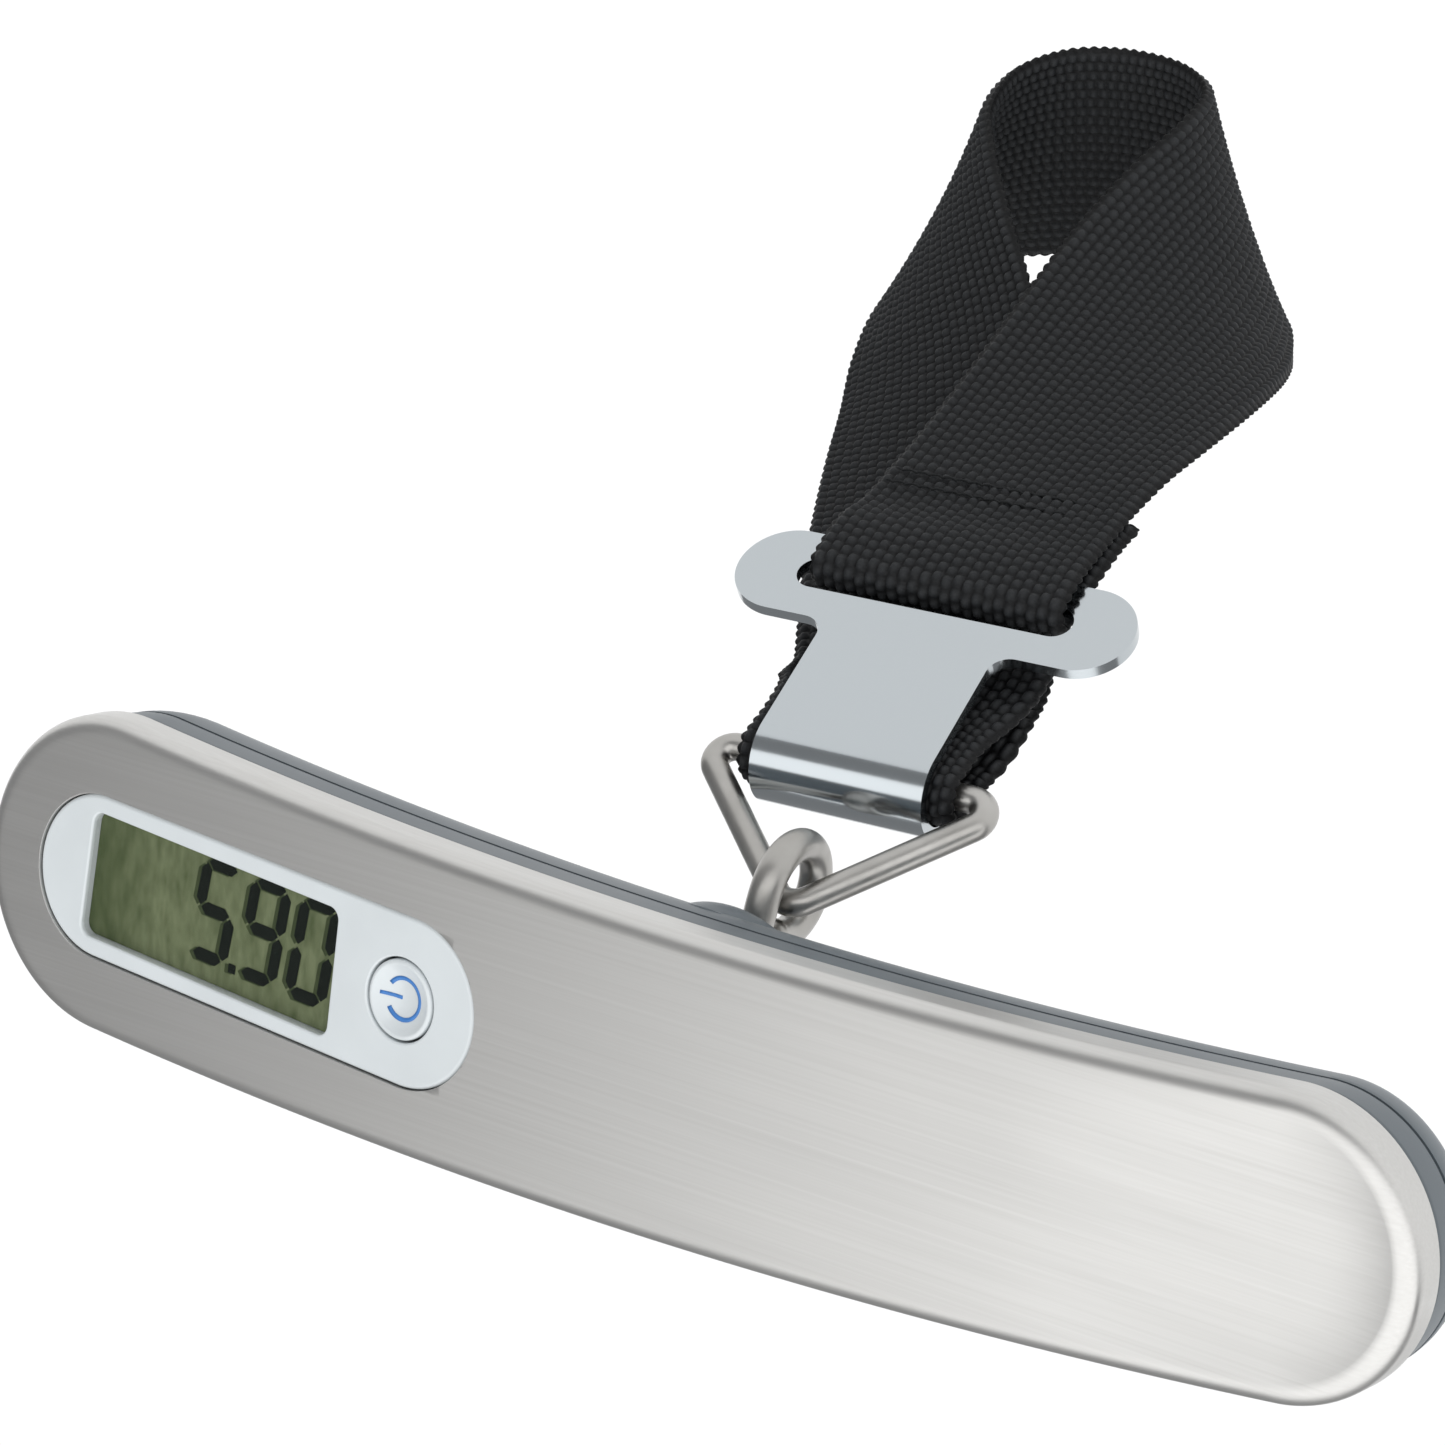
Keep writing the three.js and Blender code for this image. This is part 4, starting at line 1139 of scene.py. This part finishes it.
def make_webbing():
    """The strap as beads of weave over its section; their height also feeds the colour, as painted shade
    darker in the gaps between beads.
    """
    distance, middle, wide, thin, half = web_rows()
    across, face, bulge = web_section()
    rib = (distance / RIB)[:, None]
    column = (across + 1) / 2 * COLUMNS
    knuckle = np.abs(np.sin(math.pi * (rib + BEAD_SHIFT * (np.floor(column) % 2)))) ** 0.7
    dome = np.abs(np.sin(math.pi * column)) ** 0.8
    relief_and_painted_shade = knuckle * (0.2 + 0.8 * dome)
    near_end = np.clip(np.minimum(distance, distance[-1] - distance) / 0.8, 0, 1) ** 0.5
    core = (WEB_THICK / 2 - 0.3) * (0.55 + 0.45 * near_end[:, None])
    shoulder = 1 - 0.3 * np.clip((np.abs(across) - 0.955) / 0.045, 0, 1) ** 2
    up = face * (core + BEAD * relief_and_painted_shade) * shoulder
    nub = 0.16 + 0.34 * np.abs(np.sin(math.pi * rib))
    out = across * (half[:, None] - 0.3) + np.sign(across) * bulge * nub
    points = middle[:, None] + wide[:, None] * out[:, :, None] + thin[:, None] * up[:, :, None]
    points = -points.reshape(-1, 3) * MM
    points = points @ np.array(CLASP_TURN.to_3x3()).T + np.array(BAR_POINT)
    count = len(across)
    ring = np.arange(count)
    after = (ring + 1) % count
    base = (np.arange(len(distance) - 1) * count)[:, None]
    quads = np.stack([base + ring, base + after, base + count + after, base + count + ring], 2)
    last = (len(distance) - 1) * count
    faces = quads.reshape(-1, 4).tolist() + [tuple(ring.tolist()), tuple((last + ring).tolist())]
    webbing = make_object("webbing", points.tolist(), faces, WEB)
    # The bead height is stored for the colour's painted shade in the gaps.
    raised = webbing.data.attributes.new("relief_and_painted_shade", "FLOAT", "POINT")
    raised.data.foreach_set("value", relief_and_painted_shade.ravel().astype(np.float32))
    return webbing


STITCH_ROWS = (31.6, 33.6)
STITCH_PITCH = 1.35
STITCH_HALF = 0.45
STITCH_TILT = 0.25
THREAD_R = 0.13
THREAD_SIDES = 8
THREAD_STEPS = 6


def make_stitches():
    """Zigzag rows of thread that hold the webbing's folded end, on the strap's front face."""
    fine = web_path()[1]
    steps_down = fine[:, 2]
    front = (np.arange(len(fine)) > np.argmax(steps_down)) & (fine[:, 1] > 2.2)
    verts = []
    faces = []

    def stitch(x, v, t, tilt):
        base = len(verts)
        for end in np.linspace(-STITCH_HALF, STITCH_HALF, THREAD_STEPS + 1):
            turn = end / STITCH_HALF * math.pi
            bow = WEB_THICK / 2 + 0.12 * math.cos(turn / 2)
            radius = THREAD_R * (0.5 + 0.5 * math.cos(turn / 2.2))
            for a in np.linspace(0, 2 * math.pi, THREAD_SIDES, endpoint=False):
                spot = (x + end, v + bow + radius * math.cos(a), t + tilt * end + radius * math.sin(a))
                verts.append(in_clasp(*spot))
        for band in range(THREAD_STEPS):
            a = base + band * THREAD_SIDES
            b = a + THREAD_SIDES
            for i in range(THREAD_SIDES):
                j = (i + 1) % THREAD_SIDES
                faces.append((a + i, a + j, b + j, b + i))
        for cap in (base, base + THREAD_STEPS * THREAD_SIDES):
            faces.append(tuple(range(cap, cap + THREAD_SIDES)))

    for level in STITCH_ROWS:
        nearest = int(np.argmin(np.where(front, np.abs(steps_down - level), 99)))
        x, v, t = fine[nearest, :3]
        for n in range(-8, 9):
            stitch(x - n * STITCH_PITCH, v, t, -STITCH_TILT)
            stitch(x - n * STITCH_PITCH + STITCH_PITCH / 2, v, t, STITCH_TILT)
    return make_object("stitches", verts, faces, THREAD)


def place(piece, body, slot, *nodes):
    """Fixes a piece to a body and hides the CAD nodes it stands for; slot is not used."""
    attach(piece, body)
    if nodes:
        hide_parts(*nodes)


place(make_plate(), "grip", "steel_plate", "front_plate")
place(make_front_casing(), "grip", "casing_plastic", "front_casing")
back_shell, back_door = make_rear_casing()
place(back_shell, "grip", "casing_plastic", "rear_casing")
place(back_door, "door", "casing_plastic", "battery_door")
place(make_bezel(), "grip", "white_plastic", "display_bezel")
place(make_window(), "grip", "clear_window", "display_window")
digits = make_digits("lcd_digits", "5.90", 0, 0.95, LCD_FACE + 0.06, INK)
# Painted shadow: dark copies of the digits just behind them, shifted left and down as a cast shadow.
digit_shadow = make_digits("lcd_digit_shadow", "5.90", -0.45, 0.8, LCD_FACE + 0.025, DIGIT_SHADOW_PAINT)
place(digits, "grip", "lcd")
place(digit_shadow, "grip", "lcd")
place(make_lcd(), "grip", "lcd", "lcd_glass")
place(make_button(), "button", "white_plastic", "power_button")
place(make_icon(), "button", "white_plastic")
place(make_hook(), "hook", "steel_wire", "eye_hook")
place(make_ring(), "ring", "steel_wire", "triangle_ring")
place(make_clasp(), "sling", "clasp_chrome", "clasp_plate")
place(make_webbing(), "sling", "webbing", "strap")
place(make_stitches(), "sling", "webbing")

# ---- Camera, lights and floor --------------------------------------------------

SENSOR = 36.0
VIEW_TURN = math.radians(-36.3)  # from the plate's normal, about the grip's height
VIEW_RISE = math.radians(13.5)
VIEW_ROLL = math.radians(-5.0)
VIEW_DISTANCE = 372.6  # mm
VIEW_SHIFT = (-8.9, -29.3)  # mm, right and up in the view
LENS = 112.0


def add_camera():
    turn = (
        Matrix.Rotation(VIEW_ROLL, 3, "Z")
        @ Matrix.Rotation(VIEW_RISE, 3, "X")
        @ Matrix.Rotation(VIEW_TURN, 3, "Y")
    )
    right, up, back = turn[0], turn[1], turn[2]
    spot = back * VIEW_DISTANCE - right * VIEW_SHIFT[0] - up * VIEW_SHIFT[1]
    to_row = Matrix((GRIP_X, GRIP_U, GRIP_N)).transposed()
    basis = to_row @ Matrix((right, up, back)).transposed()
    camera = bpy.data.objects.new("camera", bpy.data.cameras.new("camera"))
    camera.data.lens = LENS
    camera.data.sensor_width = SENSOR
    camera.data.clip_start = 0.01
    camera.matrix_world = Matrix.Translation(grip(*spot)) @ basis.to_4x4()
    bpy.context.scene.collection.objects.link(camera)
    bpy.context.scene.camera = camera


SUN_TOWARD = (0.41, -0.43, 0.8)  # in the grip's own frame
SUN_SPREAD = math.radians(120)
FLOOR_HALF = 6.0
FLOOR_GAP = 0.35


def add_sun():
    """One very wide sun, as soft as a studio's light tent."""
    light = bpy.data.lights.new("soft_sky", "SUN")
    light.angle = SUN_SPREAD
    light.energy = 3.0
    obj = bpy.data.objects.new("soft_sky", light)
    toward = grip(*SUN_TOWARD) - grip(0, 0, 0)
    obj.rotation_euler = toward.to_track_quat("Z", "Y").to_euler()
    bpy.context.scene.collection.objects.link(obj)


def add_stage():
    """A pale floor well below the hanging strap, and a faint even world."""
    z = CAD_BOX[0][2] - FLOOR_GAP
    corners = [(x * FLOOR_HALF, y * FLOOR_HALF, z) for x, y in ((-1, -1), (1, -1), (1, 1), (-1, 1))]
    paper = flat_look("floor_paper", (0.93, 0.93, 0.93), 0.9, grain=40, spread=0.01)
    make_object("floor", corners, [(0, 1, 2, 3)], paper)
    world = bpy.data.worlds.new("studio")
    world.use_nodes = True
    background = world.node_tree.nodes["Background"]
    background.inputs["Color"].default_value = (0.97, 0.98, 1, 1)
    background.inputs["Strength"].default_value = 0.3
    bpy.context.scene.world = world


add_camera()
add_stage()
add_sun()
bpy.context.scene.view_settings.view_transform = "Standard"
